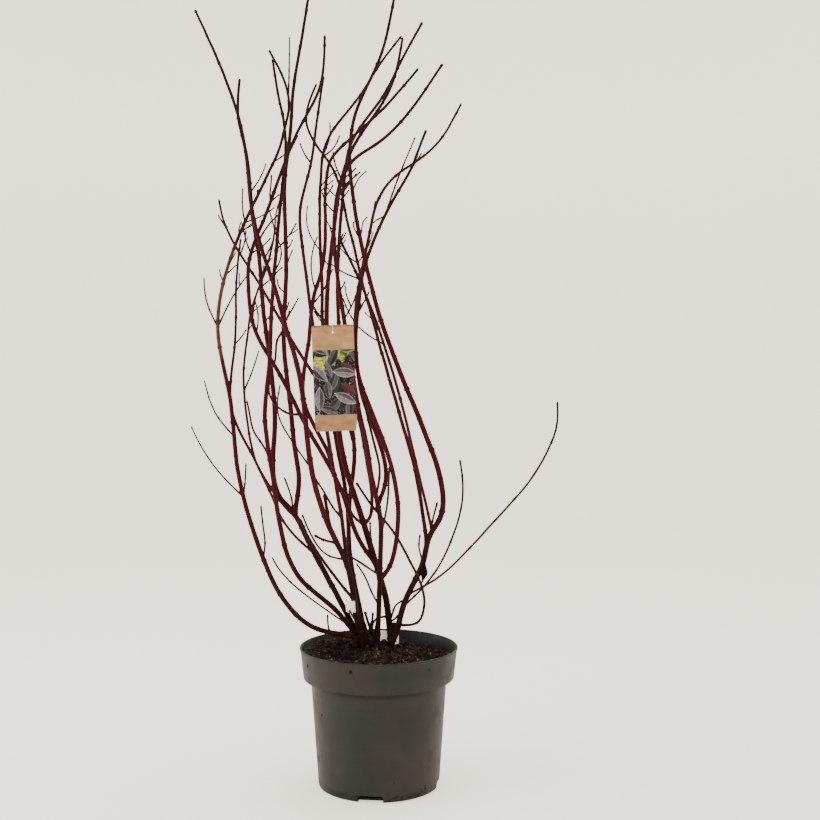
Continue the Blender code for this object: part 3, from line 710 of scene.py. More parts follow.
def square_rings(middle: Array, reach: Array, across: Array, other: Array) -> Array:
    """Rings square to a line: middle + reach * (cosine * across + sine * other) round each turn.

    Args:
        middle: The rings' middles.
        reach: Each point's distance from its middle, as (rows, sides).
        across: A unit vector in the plane of each ring.
        other: The unit vector square to it there.

    Returns:
        The points as (rows, sides, 3).
    """
    turn = np.arange(reach.shape[1]) * 2 * math.pi / reach.shape[1]
    out = np.cos(turn)[:, None] * across[:, None] + np.sin(turn)[:, None] * other[:, None]
    return middle[:, None] + reach[..., None] * out


def closed(rings: Array, foot: Sequence[float], tip: Sequence[float]) -> tuple[Array, Array, Array]:
    """The skin over rings of points with a pole at each end: its points, quads and triangles.

    Args:
        rings: Points as (rows, sides, 3).
        foot: The pole below the first ring.
        tip: The pole beyond the last ring.

    Returns:
        Points, quads and triangles.
    """
    rows, sides = rings.shape[:2]
    first, pole = np.arange(sides), rows * sides
    ends = np.vstack([fan(pole, first, False), fan(pole + 1, first + pole - sides, True)])
    return np.vstack([rings.reshape(-1, 3), foot, tip]), grid_faces(rows, sides), ends


def ball(rows: int, sides: int) -> tuple[Array, Array, Array]:
    """A ball of radius 1, cut into `rows` - 2 rings between its poles."""
    theta = np.linspace(0, math.pi, rows)[1:-1]
    return closed(around(np.sin(theta), -np.cos(theta), sides), (0, 0, -1), (0, 0, 1))


def sheet(shell: Shell, middle: Array, outward: Array, thick: float) -> None:
    """Adds a thin closed sheet: both faces half its thickness from the middle, and its four edges.

    Args:
        shell: The mesh that takes it.
        middle: Points as (rows, columns, 3).
        outward: The unit vector out of the sheet at each point.
        thick: The sheet's thickness.
    """
    rows, columns = middle.shape[:2]
    count = rows * columns
    front = grid_faces(rows, columns, closed=False)
    index = np.arange(count).reshape(rows, columns)
    border = np.concatenate([index[0], index[1:, -1], index[-1, -2::-1], index[-2:0:-1, 0]])
    points = np.stack([middle + outward * thick / 2, middle - outward * thick / 2])
    shell.add(points.reshape(-1, 3), np.vstack([front, front[:, ::-1] + count, band(border, count)[:, ::-1]]))


def applied(piece: bpy.types.Object) -> bpy.types.Mesh:
    """Applies a piece's modifiers and returns its new mesh.

    Args:
        piece: The piece.

    Returns:
        Its new mesh.
    """
    graph = bpy.context.evaluated_depsgraph_get()
    mesh = bpy.data.meshes.new_from_object(piece.evaluated_get(graph), depsgraph=graph)
    piece.modifiers.clear()
    piece.data = mesh
    return mesh


def run_along(line: Array) -> Array:
    """How far each point of a line is from its start."""
    return np.concatenate([[0.0], np.cumsum(np.linalg.norm(np.diff(line, axis=0), axis=1))])


def at_run(line: Array, run: Array, at: Array) -> Array:
    """Points of a line at distances along it."""
    return np.column_stack([np.interp(at, run, line[:, axis]) for axis in range(3)])


def unit(vectors: Array) -> Array:
    """The vectors' directions, each 1 long."""
    return vectors / np.linalg.norm(vectors, axis=-1, keepdims=True)


def directions(line: Array) -> Array:
    """The unit direction at each point of a line."""
    return unit(np.gradient(line, axis=0))


def axes(along: Array) -> tuple[Array, Array]:
    """Two unit vectors square to each direction, all turned the same way."""
    across = unit(np.cross(along, (0.0, 1.0, 0.0)))
    return across, np.cross(along, across)


def smooth_noise(at: Array, seed: int, waves: int = 7) -> Array:
    """A sum of sines with seeded pitches and phases, about 0 and within 1.

    Args:
        at: Positions, as (n, k) numbers scaled so that 1 is about one hump.
        seed: The seed.
        waves: How many sines are summed.

    Returns:
        One value for each position.
    """
    rng = np.random.default_rng(seed)
    pitch = rng.normal(0.0, 1.0, (waves, at.shape[1])) * 2.4
    phase = rng.uniform(0.0, 2 * math.pi, waves)
    return np.sin(at @ pitch.T + phase).mean(axis=1) * 1.6


# The clump's canes


@dataclass(frozen=True)
class Stem:
    """One cane: its knots are (across, height) in mm, its girths are diameters in mm.

    depth is how far behind the middle plane it stands at its foot, belly and tip, in mm.
    A stem with a parent leaves it at the first knot; cuts are the heights in mm at which the
    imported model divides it, the last of them where its spray of twigs begins. tan is the
    range of heights in mm where its bark is weathered tan.
    """

    name: str
    girth: Pair
    depth: Point
    knots: tuple[Pair, ...]
    cuts: tuple[float, ...] = ()
    parent: str = ""
    stool: str = ""
    wood: Wood = Wood.RED
    tan: Pair = (0.0, 0.0)


@dataclass(frozen=True)
class Twig:
    """A side twig that shows in the outline, on the spray of the stem that bears it."""

    stem: str
    depth: float
    knots: tuple[Pair, ...]


@dataclass(frozen=True)
class Line:
    """A cane's centre line and its radius at each point."""

    points: Array
    radii: Array

    def denser(self, steps: int = 8) -> "Line":
        """The same broken line with `steps` points on each of its straight runs.

        Args:
            steps: How many points each run gets.

        Returns:
            The new line.
        """
        count = len(self.points)
        at = np.linspace(0, count - 1, (count - 1) * steps + 1)
        index = np.arange(count)
        return Line(at_run(self.points, index, at), np.interp(at, index, self.radii))

    def station(self, at: float) -> tuple[Array, Array]:
        """The point at a distance along the line and the direction of its run there.

        Args:
            at: The distance.

        Returns:
            The point and the unit direction.
        """
        run = run_along(self.points)
        i = min(int(np.searchsorted(run, at)), len(run) - 1)
        return at_run(self.points, run, np.array([at]))[0], unit(self.points[i] - self.points[i - 1])

    def above(self, height: float) -> "Line":
        """The part of a rising line above a height, begun at that height.

        Args:
            height: The height in metres.

        Returns:
            The upper part.
        """
        i = int(np.argmax(self.points[:, 2] > height))
        share = (height - self.points[i - 1, 2]) / (self.points[i, 2] - self.points[i - 1, 2])
        start = self.points[i - 1] + share * (self.points[i] - self.points[i - 1])
        girth = self.radii[i - 1] + share * (self.radii[i] - self.radii[i - 1])
        return Line(np.vstack([start, self.points[i:]]), np.insert(self.radii[i:], 0, girth))

    def sunk(self, depth: float) -> "Line":
        """The same line with its foot carried straight down by a depth."""
        down = self.points[0] - np.outer([depth, depth / 2], (0.0, 0.0, 1.0))
        return Line(np.vstack([down, self.points]), np.insert(self.radii, 0, [self.radii[0]] * 2))

    def gap_from(self, points: Array) -> Array:
        """For each point, its distance from the line's surface.

        Args:
            points: The points.

        Returns:
            One distance for each, below 0 inside the line.
        """
        start, along = self.points[:-1], np.diff(self.points, axis=0)
        offset = points[:, None] - start[None]
        share = np.clip((offset * along).sum(-1) / (along**2).sum(-1), 0, 1)
        gap = np.linalg.norm(offset - share[..., None] * along, axis=-1)
        return (gap - (self.radii[:-1] + share * np.diff(self.radii))).min(axis=1)


def side(name: str, parent: str, girth: Pair, depth: Pair, *knots: Pair, wood: Wood = Wood.RED) -> Stem:
    """A short branch, its depths at belly and tip counted from where it leaves its parent."""
    return Stem(name, girth, (0, *depth), knots, parent=parent, wood=wood)


STEMS = (
    Stem("a", (9.0, 3.0), (-3, 20, 40), ((-44, 274), (-60, 278), (-108, 288), (-229, 464), (-260, 585),
        (-275, 726), (-295, 847), (-295, 858), (-196, 1141), (-178, 1184), (-171, 1210), (-163, 1245),
        (-199, 1354)), (345, 500), stool="left", tan=(780, 1010)),
    Stem("b", (9.0, 3.0), (26, -110, -60), ((-39, 275), (-82, 327), (-144, 383), (-191, 541), (-208, 661),
        (-209, 673), (-199, 805), (-198, 843), (-187, 993), (-177, 1094), (-175, 1241), (-178, 1253),
        (-192, 1338)), (500, 800), stool="left"),
    Stem("c", (10.5, 3.4), (50, 90, 130), ((-35, 269), (-62, 323), (-137, 469), (-165, 516), (-176, 527),
        (-195, 607), (-192, 653), (-215, 931), (-216, 953), (-230, 1047), (-244, 1181), (-266, 1268),
        (-333, 1426)), (480, 800), stool="left"),
    Stem("g", (10.5, 3.2), (18, -170, -110), ((-29, 273), (-42, 312), (-46, 346), (-52, 382), (-62, 418),
        (-78, 452), (-122, 577), (-136, 690), (-137, 700), (-160, 816), (-167, 837), (-183, 898),
        (-230, 1059), (-241, 1166), (-255, 1229), (-252, 1303)), (560,), stool="left"),
    Stem("j", (8.8, 3.4), (60, 198, 120), ((-25, 271), (-34, 322), (-51, 412), (-52, 543), (-45, 600),
        (-49, 667), (-64, 762), (-72, 1012), (-59, 1143), (-54, 1172), (4, 1263), (38, 1325), (81, 1404)),
        (500, 800), stool="left"),
    Stem("s", (8.0, 3.0), (38, 150, 90), ((-24, 280), (-54, 441), (-59, 531), (-77, 632), (-89, 733),
        (-103, 863), (-104, 946), (-107, 1011), (-105, 1125), (-98, 1177), (-32, 1273), (-2, 1320),
        (43, 1379)), (500, 800), stool="left"),
    Stem("u", (7.2, 2.8), (27, -140, -170), ((-26, 277), (-54, 382), (-68, 494), (-82, 578), (-123, 872),
        (-139, 997), (-142, 1072), (-126, 1134), (-113, 1219), (-99, 1307)), (700,), stool="left"),
    Stem("k", (12.0, 3.2), (46, 110, 50), ((23, 254), (22, 270), (18, 310), (14, 342), (-7, 418),
        (-37, 515), (-64, 605), (-79, 713), (-92, 804), (-95, 877), (-79, 1048), (-67, 1119), (-46, 1177),
        (20, 1280), (45, 1377)), (440, 800), stool="right"),
    Stem("l", (9.0, 3.2), (22, -165, -90), ((-2, 269), (4, 457), (4, 484), (-14, 580), (-18, 609),
        (-38, 706), (-51, 783), (-68, 895), (-80, 1056), (-43, 1157), (-6, 1182), (107, 1313), (118, 1329)),
        (500, 800), stool="right"),
    Stem("o", (10.8, 3.4), (24, 20, -20), ((23, 255), (26, 268), (33, 284), (39, 308), (50, 345), (68, 382),
        (83, 419), (96, 466), (113, 496), (119, 525), (116, 560), (78, 674), (60, 718), (4, 865),
        (-30, 997), (-45, 1079), (-52, 1170), (-41, 1240), (1, 1334), (30, 1452)), (482, 760),
        stool="right"),
    Stem("d", (9.0, 3.6), (0, -10, -30), ((-153, 507), (-148, 576), (-153, 614), (-163, 712), (-174, 817),
        (-169, 958), (-171, 1110), (-159, 1224), (-156, 1270), (-141, 1361), (-125, 1457)), (760,),
        parent="c"),
    Stem("e", (4.6, 2.6), (0, 160, 150), ((-122, 428), (-181, 499), (-194, 530), (-227, 603), (-244, 693),
        (-248, 771), (-242, 824), (-234, 878), (-202, 969), (-189, 1031)), (690,), parent="c"),
    Stem("f", (5.2, 2.6), (0, 30, 110), ((-146, 494), (-206, 562), (-230, 608), (-270, 695), (-264, 822),
        (-261, 925), (-252, 1013)), (640,), parent="c"),
    Stem("h", (8.2, 3.0), (0, -100, -100), ((-11, 410), (-33, 451), (-68, 545), (-127, 656), (-195, 787),
        (-225, 840), (-239, 927), (-239, 958), (-208, 1051), (-198, 1077), (-142, 1215), (-107, 1286),
        (-97, 1381)), (800,), parent="k"),
    Stem("i", (7.2, 3.0), (0, -120, -150), ((-77, 577), (-90, 609), (-138, 718), (-128, 826), (-119, 905),
        (-106, 948), (-95, 1120), (-87, 1154), (-56, 1189), (20, 1259), (74, 1321)), (820,), parent="h"),
    Stem("m", (8.4, 3.0), (0, -150, -130), ((2, 385), (10, 392), (29, 435), (34, 539), (-25, 725),
        (-29, 735), (-39, 865), (-35, 902), (-31, 938), (-6, 1014), (28, 1084), (60, 1139), (79, 1187),
        (88, 1210)), (760,), parent="l"),
    Stem("n", (7.4, 2.8), (0, 60, 110), ((1, 525), (8, 546), (-30, 723), (-42, 820), (-43, 856),
        (-19, 1008), (16, 1110), (96, 1173), (152, 1258)), (800,), parent="l"),
    Stem("p", (7.0, 3.0), (0, 180, 140), ((88, 447), (76, 541), (62, 609), (47, 661), (42, 679), (-2, 832),
        (-15, 879), (-29, 928), (-43, 990), (-58, 1050), (-81, 1135), (-131, 1222), (-112, 1293)), (800,),
        parent="o"),
    Stem("q", (5.0, 3.4), (0, -90, -120), ((98, 473), (90, 511), (70, 596), (24, 774), (-32, 929),
        (-69, 1008)), (760,), parent="o"),
    Stem("t", (7.0, 2.4), (0, 160, 20), ((-47, 642), (-53, 662), (-121, 766), (-219, 930), (-285, 1052),
        (-292, 1085)), (850,), parent="j"),
)

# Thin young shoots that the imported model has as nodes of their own
SHOOTS = (
    Stem("arching", (3.6, 2.6), (0, -90, -60), ((39, 297), (76, 306), (83, 324), (84, 351), (60, 413),
        (25, 475), (-9, 516), (-42, 564)), parent="o"),
    Stem("upright", (2.8, 2.0), (0, 60, 90), ((43, 333), (84, 369), (136, 460), (156, 555), (150, 607)),
        parent="o"),
    Stem("long", (3.0, 2.0), (0, -30, -60), ((54, 355), (110, 386), (159, 431), (231, 510), (278, 565),
        (316, 631), (329, 672), (329.5, 714)), parent="o", wood=Wood.TAN),
    Stem("low", (2.0, 1.6), (0, 70, 110), ((-59, 292), (-122, 344), (-191, 412), (-198, 425)), parent="b"),
    Stem("middle", (3.0, 2.0), (0, -60, -80), ((-10, 387), (-31, 412), (-77, 440)), parent="k"),
    Stem("inner", (4.6, 2.4), (0, -70, -110), ((-57, 343), (-125, 453), (-146, 497)), parent="g"),
)

# Finer wood that only the dressed plant has
STRANDS = (
    side("knob", "o", (2.0, 2.4), (12, 22), (93, 466), (101, 497), (109, 528), wood=Wood.GREY),
    side("fork_left", "k", (4.4, 2.6), (40, 80), (-26, 485), (-42, 496), (-52, 512), (-54, 531)),
    side("fork_right", "k", (5.2, 4.4), (-50, -70), (-26, 486), (-17, 498), (-13, 516), (-13, 545),
        (-17, 575), (-22, 605), (-30, 650), (-38, 690), (-46, 735), (-52, 790)),
    side("thin_l", "k", (2.2, 1.8), (12, 20), (-13, 427), (-14, 456), (-16, 492), wood=Wood.GREY),
    side("thin_n", "l", (3.2, 2.6), (-30, -40), (2, 540), (2, 587), (-4, 619), (-14, 658), (-21, 688),
        (-28, 729)),
    side("grey_m", "l", (2.8, 2.2), (20, 40), (6, 466), (14, 512), (18, 550), (20, 594), wood=Wood.GREY),
    side("grey_k", "l", (2.4, 1.8), (30, 60), (-5, 335), (-13, 359), (-24, 385), (-42, 413),
        wood=Wood.GREY),
    side("cut_g", "g", (3.2, 2.6), (-14, -24), (-85, 447), (-105, 458), (-120, 466)),
    side("thin_g", "g", (2.2, 1.6), (20, 50), (-76, 415), (-94, 428), (-122, 460), (-142, 505)),
    side("far_c", "c", (2.4, 1.6), (-20, -40), (-153, 512), (-162, 536), (-175, 574)),
    side("rise_a", "a", (2.2, 1.6), (20, 40), (-213, 423), (-211, 447), (-214, 479), (-218, 522)),
    side("high_a", "a", (2.0, 1.4), (20, 40), (-249, 538), (-247, 564), (-245, 600)),
    side("grey_o", "o", (2.0, 1.4), (10, 20), (73, 419), (75, 441), (77, 468), wood=Wood.GREY),
    side("inside_d", "d", (3.0, 2.0), (-30, -50), (-174, 844), (-186, 826), (-189, 804), (-192, 778)),
    side("inside_h", "h", (3.0, 2.0), (30, 50), (-141, 692), (-161, 690), (-180, 699), (-196, 716),
        (-202, 734), (-200, 753)),
    side("inside_g", "u", (2.8, 2.0), (20, 30), (-73, 497), (-88, 522), (-103, 549), (-118, 572),
        (-125, 587)),
    side("side_g", "g", (4.6, 4.4), (-10, -14), (-88, 478), (-94, 505), (-101, 543)),
    side("second_b", "b", (2.6, 1.6), (10, 20), (-201, 610), (-217, 637), (-230, 657), (-238, 690),
        (-243, 716)),
    side("loop", "k", (2.6, 1.6), (-10, -16), (24, 303), (25, 318), (30, 332), (46, 344), wood=Wood.DEAD),
    side("crotch", "k", (2.2, 1.8), (-6, -6), (24, 303), (31, 310), (38, 319)),
    side("cross", "k", (2.6, 2.0), (-10, -16), (21, 314), (10, 313), (-5, 309), (-10, 303), (-12, 284),
        wood=Wood.DEAD),
    side("stub_near", "l", (4.0, 2.8), (-6, -10), (-8, 256), (-16, 292), (-20, 303), (-26, 324),
        wood=Wood.DEAD),
    side("stub_far", "l", (3.2, 2.2), (6, 10), (-10, 258), (-16, 284), (-13, 303), (-11, 322),
        wood=Wood.DEAD),
    side("stub_left", "g", (2.4, 1.4), (-22, -28), (-30, 282), (-42, 301), (-48, 313), (-56, 327),
        wood=Wood.DEAD),
    side("stub_low", "a", (2.0, 1.2), (-8, -14), (-93, 276), (-94, 296), (-95, 318), wood=Wood.GREY),
    side("twin_l", "l", (3.4, 2.8), (9, 6), (2, 262), (-5, 280), (-4, 300), (0, 330)),
)

# Fine twigs inside the crown, each on the cane that bears it
FINE_TWIGS = (
    side("h_top", "h", (2.4, 1.7), (6, 10), (-199, 1080), (-198, 1093), (-196, 1113), (-195, 1129)),
    side("g_long", "g", (2.6, 1.8), (-10, -18), (-219, 1009), (-206, 1030), (-189, 1050), (-177, 1060)),
    side("a_up", "a", (1.9, 1.3), (8, 12), (-257, 1019), (-255, 1031), (-250, 1044)),
    side("a_in", "a", (1.8, 1.2), (8, 14), (-253, 1019), (-242, 1031), (-231, 1040)),
    side("a_mid", "a", (1.8, 1.2), (-8, -14), (-274, 962), (-268, 975), (-261, 988)),
    side("a_low", "a", (1.8, 1.2), (10, 18), (-280, 942), (-268, 957), (-257, 966)),
    side("d_out", "d", (2.0, 1.3), (8, 12), (-168, 962), (-162, 980), (-157, 993)),
    side("b_arc", "b", (2.0, 1.3), (14, 26), (-186, 951), (-180, 973), (-178, 991), (-187, 1019),
        (-196, 1051), (-200, 1064)),
    side("b_in", "b", (2.0, 1.4), (-6, -12), (-193, 944), (-184, 953), (-175, 960)),
    side("h_in", "h", (2.0, 1.3), (10, 16), (-198, 1077), (-189, 1086), (-180, 1093)),
    side("e_top", "e", (2.4, 1.6), (-10, -16), (-191, 1030), (-187, 1059), (-182, 1077), (-179, 1088)),
    side("c_in", "c", (2.2, 1.5), (-8, -14), (-214, 924), (-204, 933), (-195, 940)),
    side("d_low", "d", (1.9, 1.3), (-10, -16), (-179, 913), (-184, 927), (-185, 940)),
    side("h_dark", "h", (2.8, 1.8), (16, 28), (-234, 863), (-229, 885), (-223, 913), (-217, 927)),
    side("h_low", "h", (1.9, 1.3), (14, 24), (-218, 841), (-221, 872), (-227, 900)),
    side("g_low", "g", (2.0, 1.4), (-8, -12), (-170, 858), (-166, 871), (-163, 882)),
    side("spur_a", "a", (2.6, 2.0), (2, 3), (-222, 1084), (-221, 1093), (-221, 1102)),
    side("s_arc", "s", (1.9, 1.3), (12, 24), (-110, 989), (-120, 1009), (-129, 1031), (-131, 1057),
        (-129, 1073)),
    side("i_arc", "i", (1.9, 1.3), (-10, -18), (-116, 918), (-122, 944), (-123, 969), (-119, 995),
        (-111, 1017)),
    side("o_arc", "o", (1.9, 1.3), (10, 18), (-44, 1097), (-42, 1110), (-35, 1122), (-21, 1135)),
    side("j_out", "j", (2.4, 1.7), (-10, -20), (-64, 1108), (-55, 1115), (-43, 1124), (-32, 1134)),
    side("j_mid", "j", (2.2, 1.6), (8, 14), (-65, 1097), (-57, 1106), (-50, 1115)),
    side("p_out", "p", (2.2, 1.6), (-8, -14), (-65, 1086), (-59, 1093), (-53, 1102)),
    side("s_high", "s", (2.0, 1.4), (-10, -20), (-103, 1106), (-92, 1122), (-75, 1137)),
    side("s_mid", "s", (2.0, 1.4), (10, 20), (-102, 1097), (-92, 1110), (-81, 1119)),
    side("i_high", "i", (2.2, 1.5), (12, 20), (-96, 1088), (-88, 1100), (-82, 1111)),
    side("k_back", "k", (2.2, 1.5), (16, 26), (-87, 1059), (-94, 1075), (-103, 1097)),
    side("q_top", "q", (1.9, 1.3), (-6, -10), (-69, 1008), (-67, 1015), (-64, 1022)),
    side("o_hook", "o", (2.0, 1.3), (10, 18), (-29, 1013), (-30, 1031), (-27, 1044), (-19, 1052)),
    side("o_left", "o", (1.9, 1.3), (-8, -14), (-34, 1009), (-43, 1028), (-46, 1039), (-44, 1044)),
    side("m_low", "m", (1.8, 1.2), (10, 20), (10, 1053), (-1, 1047), (-10, 1040)),
    side("k_out", "k", (1.9, 1.3), (-8, -12), (-91, 940), (-87, 949), (-83, 958)),
    side("l_out", "l", (2.0, 1.3), (-8, -12), (-69, 918), (-65, 925), (-61, 935)),
    side("m_cross", "m", (2.4, 1.6), (-8, -14), (-38, 876), (-30, 891), (-23, 902), (-17, 916)),
)

TWIGS = (
    Twig("a", -30, ((-253, 537), (-290, 577), (-329, 633), (-346, 668))),
    Twig("a", 25, ((-269, 648), (-302, 694), (-321, 753))),
    Twig("a", -20, ((-297, 849), (-317, 904), (-320, 942))),
    Twig("a", 30, ((-293, 850), (-260, 918), (-236, 951))),
    Twig("e", -30, ((-246, 735), (-232, 770), (-220, 808))),
    Twig("d", 25, ((-172, 856), (-160, 880), (-146, 905))),
    Twig("g", -24, ((-125, 587), (-165, 648), (-186, 695), (-181, 744))),
    Twig("s", 20, ((-104, 1164), (-90, 1190), (-88, 1225))),
    Twig("s", -20, ((-104, 1160), (-82, 1176), (-70, 1200))),
    Twig("a", 20, ((-165, 1262), (-162, 1320), (-161, 1378))),
    Twig("m", -25, ((16, 1060), (22, 1082), (35, 1118), (45, 1143), (68, 1197))),
)


def spline(knots: Array, spacing: float) -> Array:
    """Points every `spacing` along a natural cubic curve through the knots.

    The curve's second derivative is level at both ends and is solved for at each knot, and
    its parameter is the length of the chords between the knots.

    Args:
        knots: The knots, as (n, k).
        spacing: The distance between the curve's points.

    Returns:
        The curve's points.
    """
    chord = np.concatenate([[0.0], np.cumsum(np.linalg.norm(np.diff(knots, axis=0), axis=1))])
    count = len(knots)
    step = np.diff(chord)
    matrix = np.eye(count)
    rise = np.zeros_like(knots)
    for i in range(1, count - 1):
        matrix[i, i - 1 : i + 2] = step[i - 1], 2 * (step[i - 1] + step[i]), step[i]
        rise[i] = 6 * ((knots[i + 1] - knots[i]) / step[i] - (knots[i] - knots[i - 1]) / step[i - 1])
    bend = np.linalg.solve(matrix, rise)
    at = np.linspace(0, chord[-1], max(3, 1 + round(chord[-1] / spacing)))
    i = np.clip(np.searchsorted(chord, at, side="right") - 1, 0, count - 2)
    h = step[i][:, None]
    left = (at - chord[i])[:, None]
    right = h - left
    return (
        bend[i] * right**3 / (6 * h)
        + bend[i + 1] * left**3 / (6 * h)
        + (knots[i] / h - bend[i] * h / 6) * right
        + (knots[i + 1] / h - bend[i + 1] * h / 6) * left
    )


def ease(t: Array) -> Array:
    """0 to 1 with level ends: half a turn of a cosine."""
    return 0.5 - 0.5 * np.cos(math.pi * np.clip(t, 0, 1))


def seen(points: Array) -> Array:
    """Where points stand in the front view: across and up on the plane through the pot's axis."""
    reach = -VIEWPOINT[1] / (points[:, 1] - VIEWPOINT[1])
    return (VIEWPOINT + (points - VIEWPOINT) * reach[:, None])[:, ::2]


def set_back(flat: Array, depth: Array) -> Array:
    """Points on the middle plane moved along the line of sight to `depth` behind it."""
    front = np.column_stack([flat[:, 0], np.zeros(len(flat)), flat[:, 1]])
    return front + (front - VIEWPOINT) * (np.asarray(depth) / -VIEWPOINT[1])[:, None]


@dataclass
class Clump:
    """The clump's centre lines: canes, shoots and the twigs that grow from them by rule."""

    ring_spacing: float = 28.0 * MM
    fine_spacing: float = 4.0 * MM
    taper: float = 1.3
    belly_share: float = 0.5
    node_spacing: float = 62.0 * MM
    twig_chance: float = 0.42
    twig_lengths: Pair = (26.0 * MM, 70.0 * MM)
    twig_girth: Pair = (2.2 * MM, 1.4 * MM)
    twig_lean: float = math.radians(42.0)
    twig_lean_spread: Pair = (0.8, 1.2)
    twig_curl: float = 0.55
    twig_rings: int = 4
    twig_run_share: float = 0.82
    twig_root_swell: float = 1.2
    twig_band: Pair = (760.0 * MM, 1160.0 * MM)
    twig_outward: float = 12.0 * MM
    crossing_gap: float = 1.0 * MM
    shelter: float = 14.0 * MM
    crown_depth: float = 174.0 * MM
    crown_centre: Pair = (-90.0 * MM, 0.0)
    coarse: dict[str, Line] = field(default_factory=dict)
    fine: dict[str, Line] = field(default_factory=dict)

    def __post_init__(self) -> None:
        """Draws every cane, each parent before its branches."""
        for stem in STEMS + SHOOTS + STRANDS + FINE_TWIGS:
            self.coarse[stem.name] = self._line(stem, self.coarse, self.ring_spacing)
            self.fine[stem.name] = self._line(stem, self.fine, self.fine_spacing)

    def _line(self, stem: Stem, lines: dict[str, Line], spacing: float) -> Line:
        """A cane's line, begun on its parent's axis where it has a parent.

        Args:
            stem: The cane.
            lines: The lines drawn so far, by name.
            spacing: The distance between its points.

        Returns:
            The cane's line.
        """
        knots, depth = np.array(stem.knots, float), np.array(stem.depth, float)
        if stem.parent:
            knots, foot = self._rooted(knots, lines[stem.parent].denser())
            depth = np.array([foot, *depth[1:]]) if stem in STEMS + SHOOTS else foot + depth
        flat = spline(knots * MM, spacing)
        run = run_along(np.column_stack([flat, np.zeros(len(flat))]))
        share = run / run[-1]
        foot, belly, tip = depth * MM
        rising = foot + (belly - foot) * ease(share / self.belly_share)
        closing = belly + (tip - belly) * ease((share - self.belly_share) / (1 - self.belly_share))
        points = set_back(flat, np.where(share < self.belly_share, rising, closing))
        wide, narrow = stem.girth
        return Line(points, (wide + (narrow - wide) * share**self.taper) * MM / 2)

    @staticmethod
    def _rooted(knots: Array, line: Line) -> tuple[Array, float]:
        """The knots with the first moved onto a line in the front view, and the depth there in mm.

        Args:
            knots: The knots in mm.
            line: The parent's line.

        Returns:
            The moved knots and the depth.
        """
        front = seen(line.points) / MM
        i = np.hypot(*(front - knots[0]).T).argmin()
        return np.vstack([front[i], knots[1:]]), line.points[i, 1] / MM

    def outline_twig(self, twig: Twig, spray: Line) -> Line:
        """A twig of the outline, from the middle of its stem.

        Args:
            twig: The twig.
            spray: Its stem's line above the last cut.

        Returns:
            The twig's line.
        """
        knots, foot = self._rooted(np.array(twig.knots, float), spray.denser())
        flat = spline(knots * MM, self.fine_spacing)
        share = np.linspace(0, 1, len(flat))
        points = set_back(flat, (foot + twig.depth * share) * MM)
        wide, narrow = self.twig_girth[0] * self.twig_root_swell, self.twig_girth[1]
        return Line(points, (wide + (narrow - wide) * share) / 2)

    def grown(self, point: Array, along: Array, side: Array, length: float, lean: float) -> Line:
        """A twig that leaves at a lean and curls up towards the stem's own direction.

        Args:
            point: Where it leaves the stem.
            along: The stem's direction there.
            side: The direction it leans to.
            length: Its length.
            lean: Its angle from the stem at the root.

        Returns:
            The twig's line.
        """
        share = np.linspace(0, 1, self.twig_rings)
        angle = lean * (1 - self.twig_curl * share)
        heading = np.outer(np.cos(angle), along) + np.outer(np.sin(angle), side)
        step = length / (self.twig_rings - 1)
        line = point + np.vstack([np.zeros(3), np.cumsum(heading[:-1] * step, axis=0)])
        return Line(line, np.linspace(*self.twig_girth, self.twig_rings) / 2)

    def rule_twigs(self, spray: Line, taken: list[Line], seed: int) -> list[Line]:
        """Twigs in crossed pairs from a spray's buds, kept where they stay clear and in the crown.

        Args:
            spray: The stem's line above its last cut.
            taken: The lines that a twig keeps clear of.
            seed: The seed of this spray.

        Returns:
            The twigs' lines.
        """
        rng = np.random.default_rng(seed)
        end = run_along(spray.points)[-1] * self.twig_run_share
        twigs: list[Line] = []
        for count, at in enumerate(np.arange(self.node_spacing, end, self.node_spacing)):
            point, along = spray.station(at)
            across = np.cross(along, (0.0, 1.0, 0.0))
            side = unit(np.cross(along, across) if count % 2 else across)
            for sign in (-1, 1):
                chance, length = rng.random(), rng.uniform(*self.twig_lengths)
                lean = self.twig_lean * rng.uniform(*self.twig_lean_spread)
                if chance > self.twig_chance or not self.twig_band[0] < point[2] < self.twig_band[1]:
                    continue
                twig = self.grown(point, along, sign * side, length, lean)
                if self.inward(twig) and self.clear(twig, taken + twigs):
                    twigs.append(twig)
        return twigs

    def inward(self, twig: Line) -> bool:
        """Whether a twig's tip stays about as near the crown's middle as its root."""
        root, *_, tip = np.hypot(*(twig.points[:, :2] - np.array(self.crown_centre)).T)
        return tip < root + self.twig_outward and abs(twig.points[-1, 1]) < self.crown_depth

    def sheltered(self, twig: Line) -> bool:
        """Whether a twig's tip stays beside a cane in the front view, so that open sky stays open."""
        canes = np.vstack([seen(self.fine[stem.name].points) for stem in STEMS])
        return np.hypot(*(canes - seen(twig.points[-1:])).T).min() < self.shelter

    def clear(self, twig: Line, others: list[Line]) -> bool:
        """Whether a twig keeps the crossing gap from every other line."""
        free = Line(twig.points[1:], twig.radii[1:]).denser()
        return all((other.gap_from(free.points) - free.radii).min() > self.crossing_gap for other in others)


# Bark and twigs


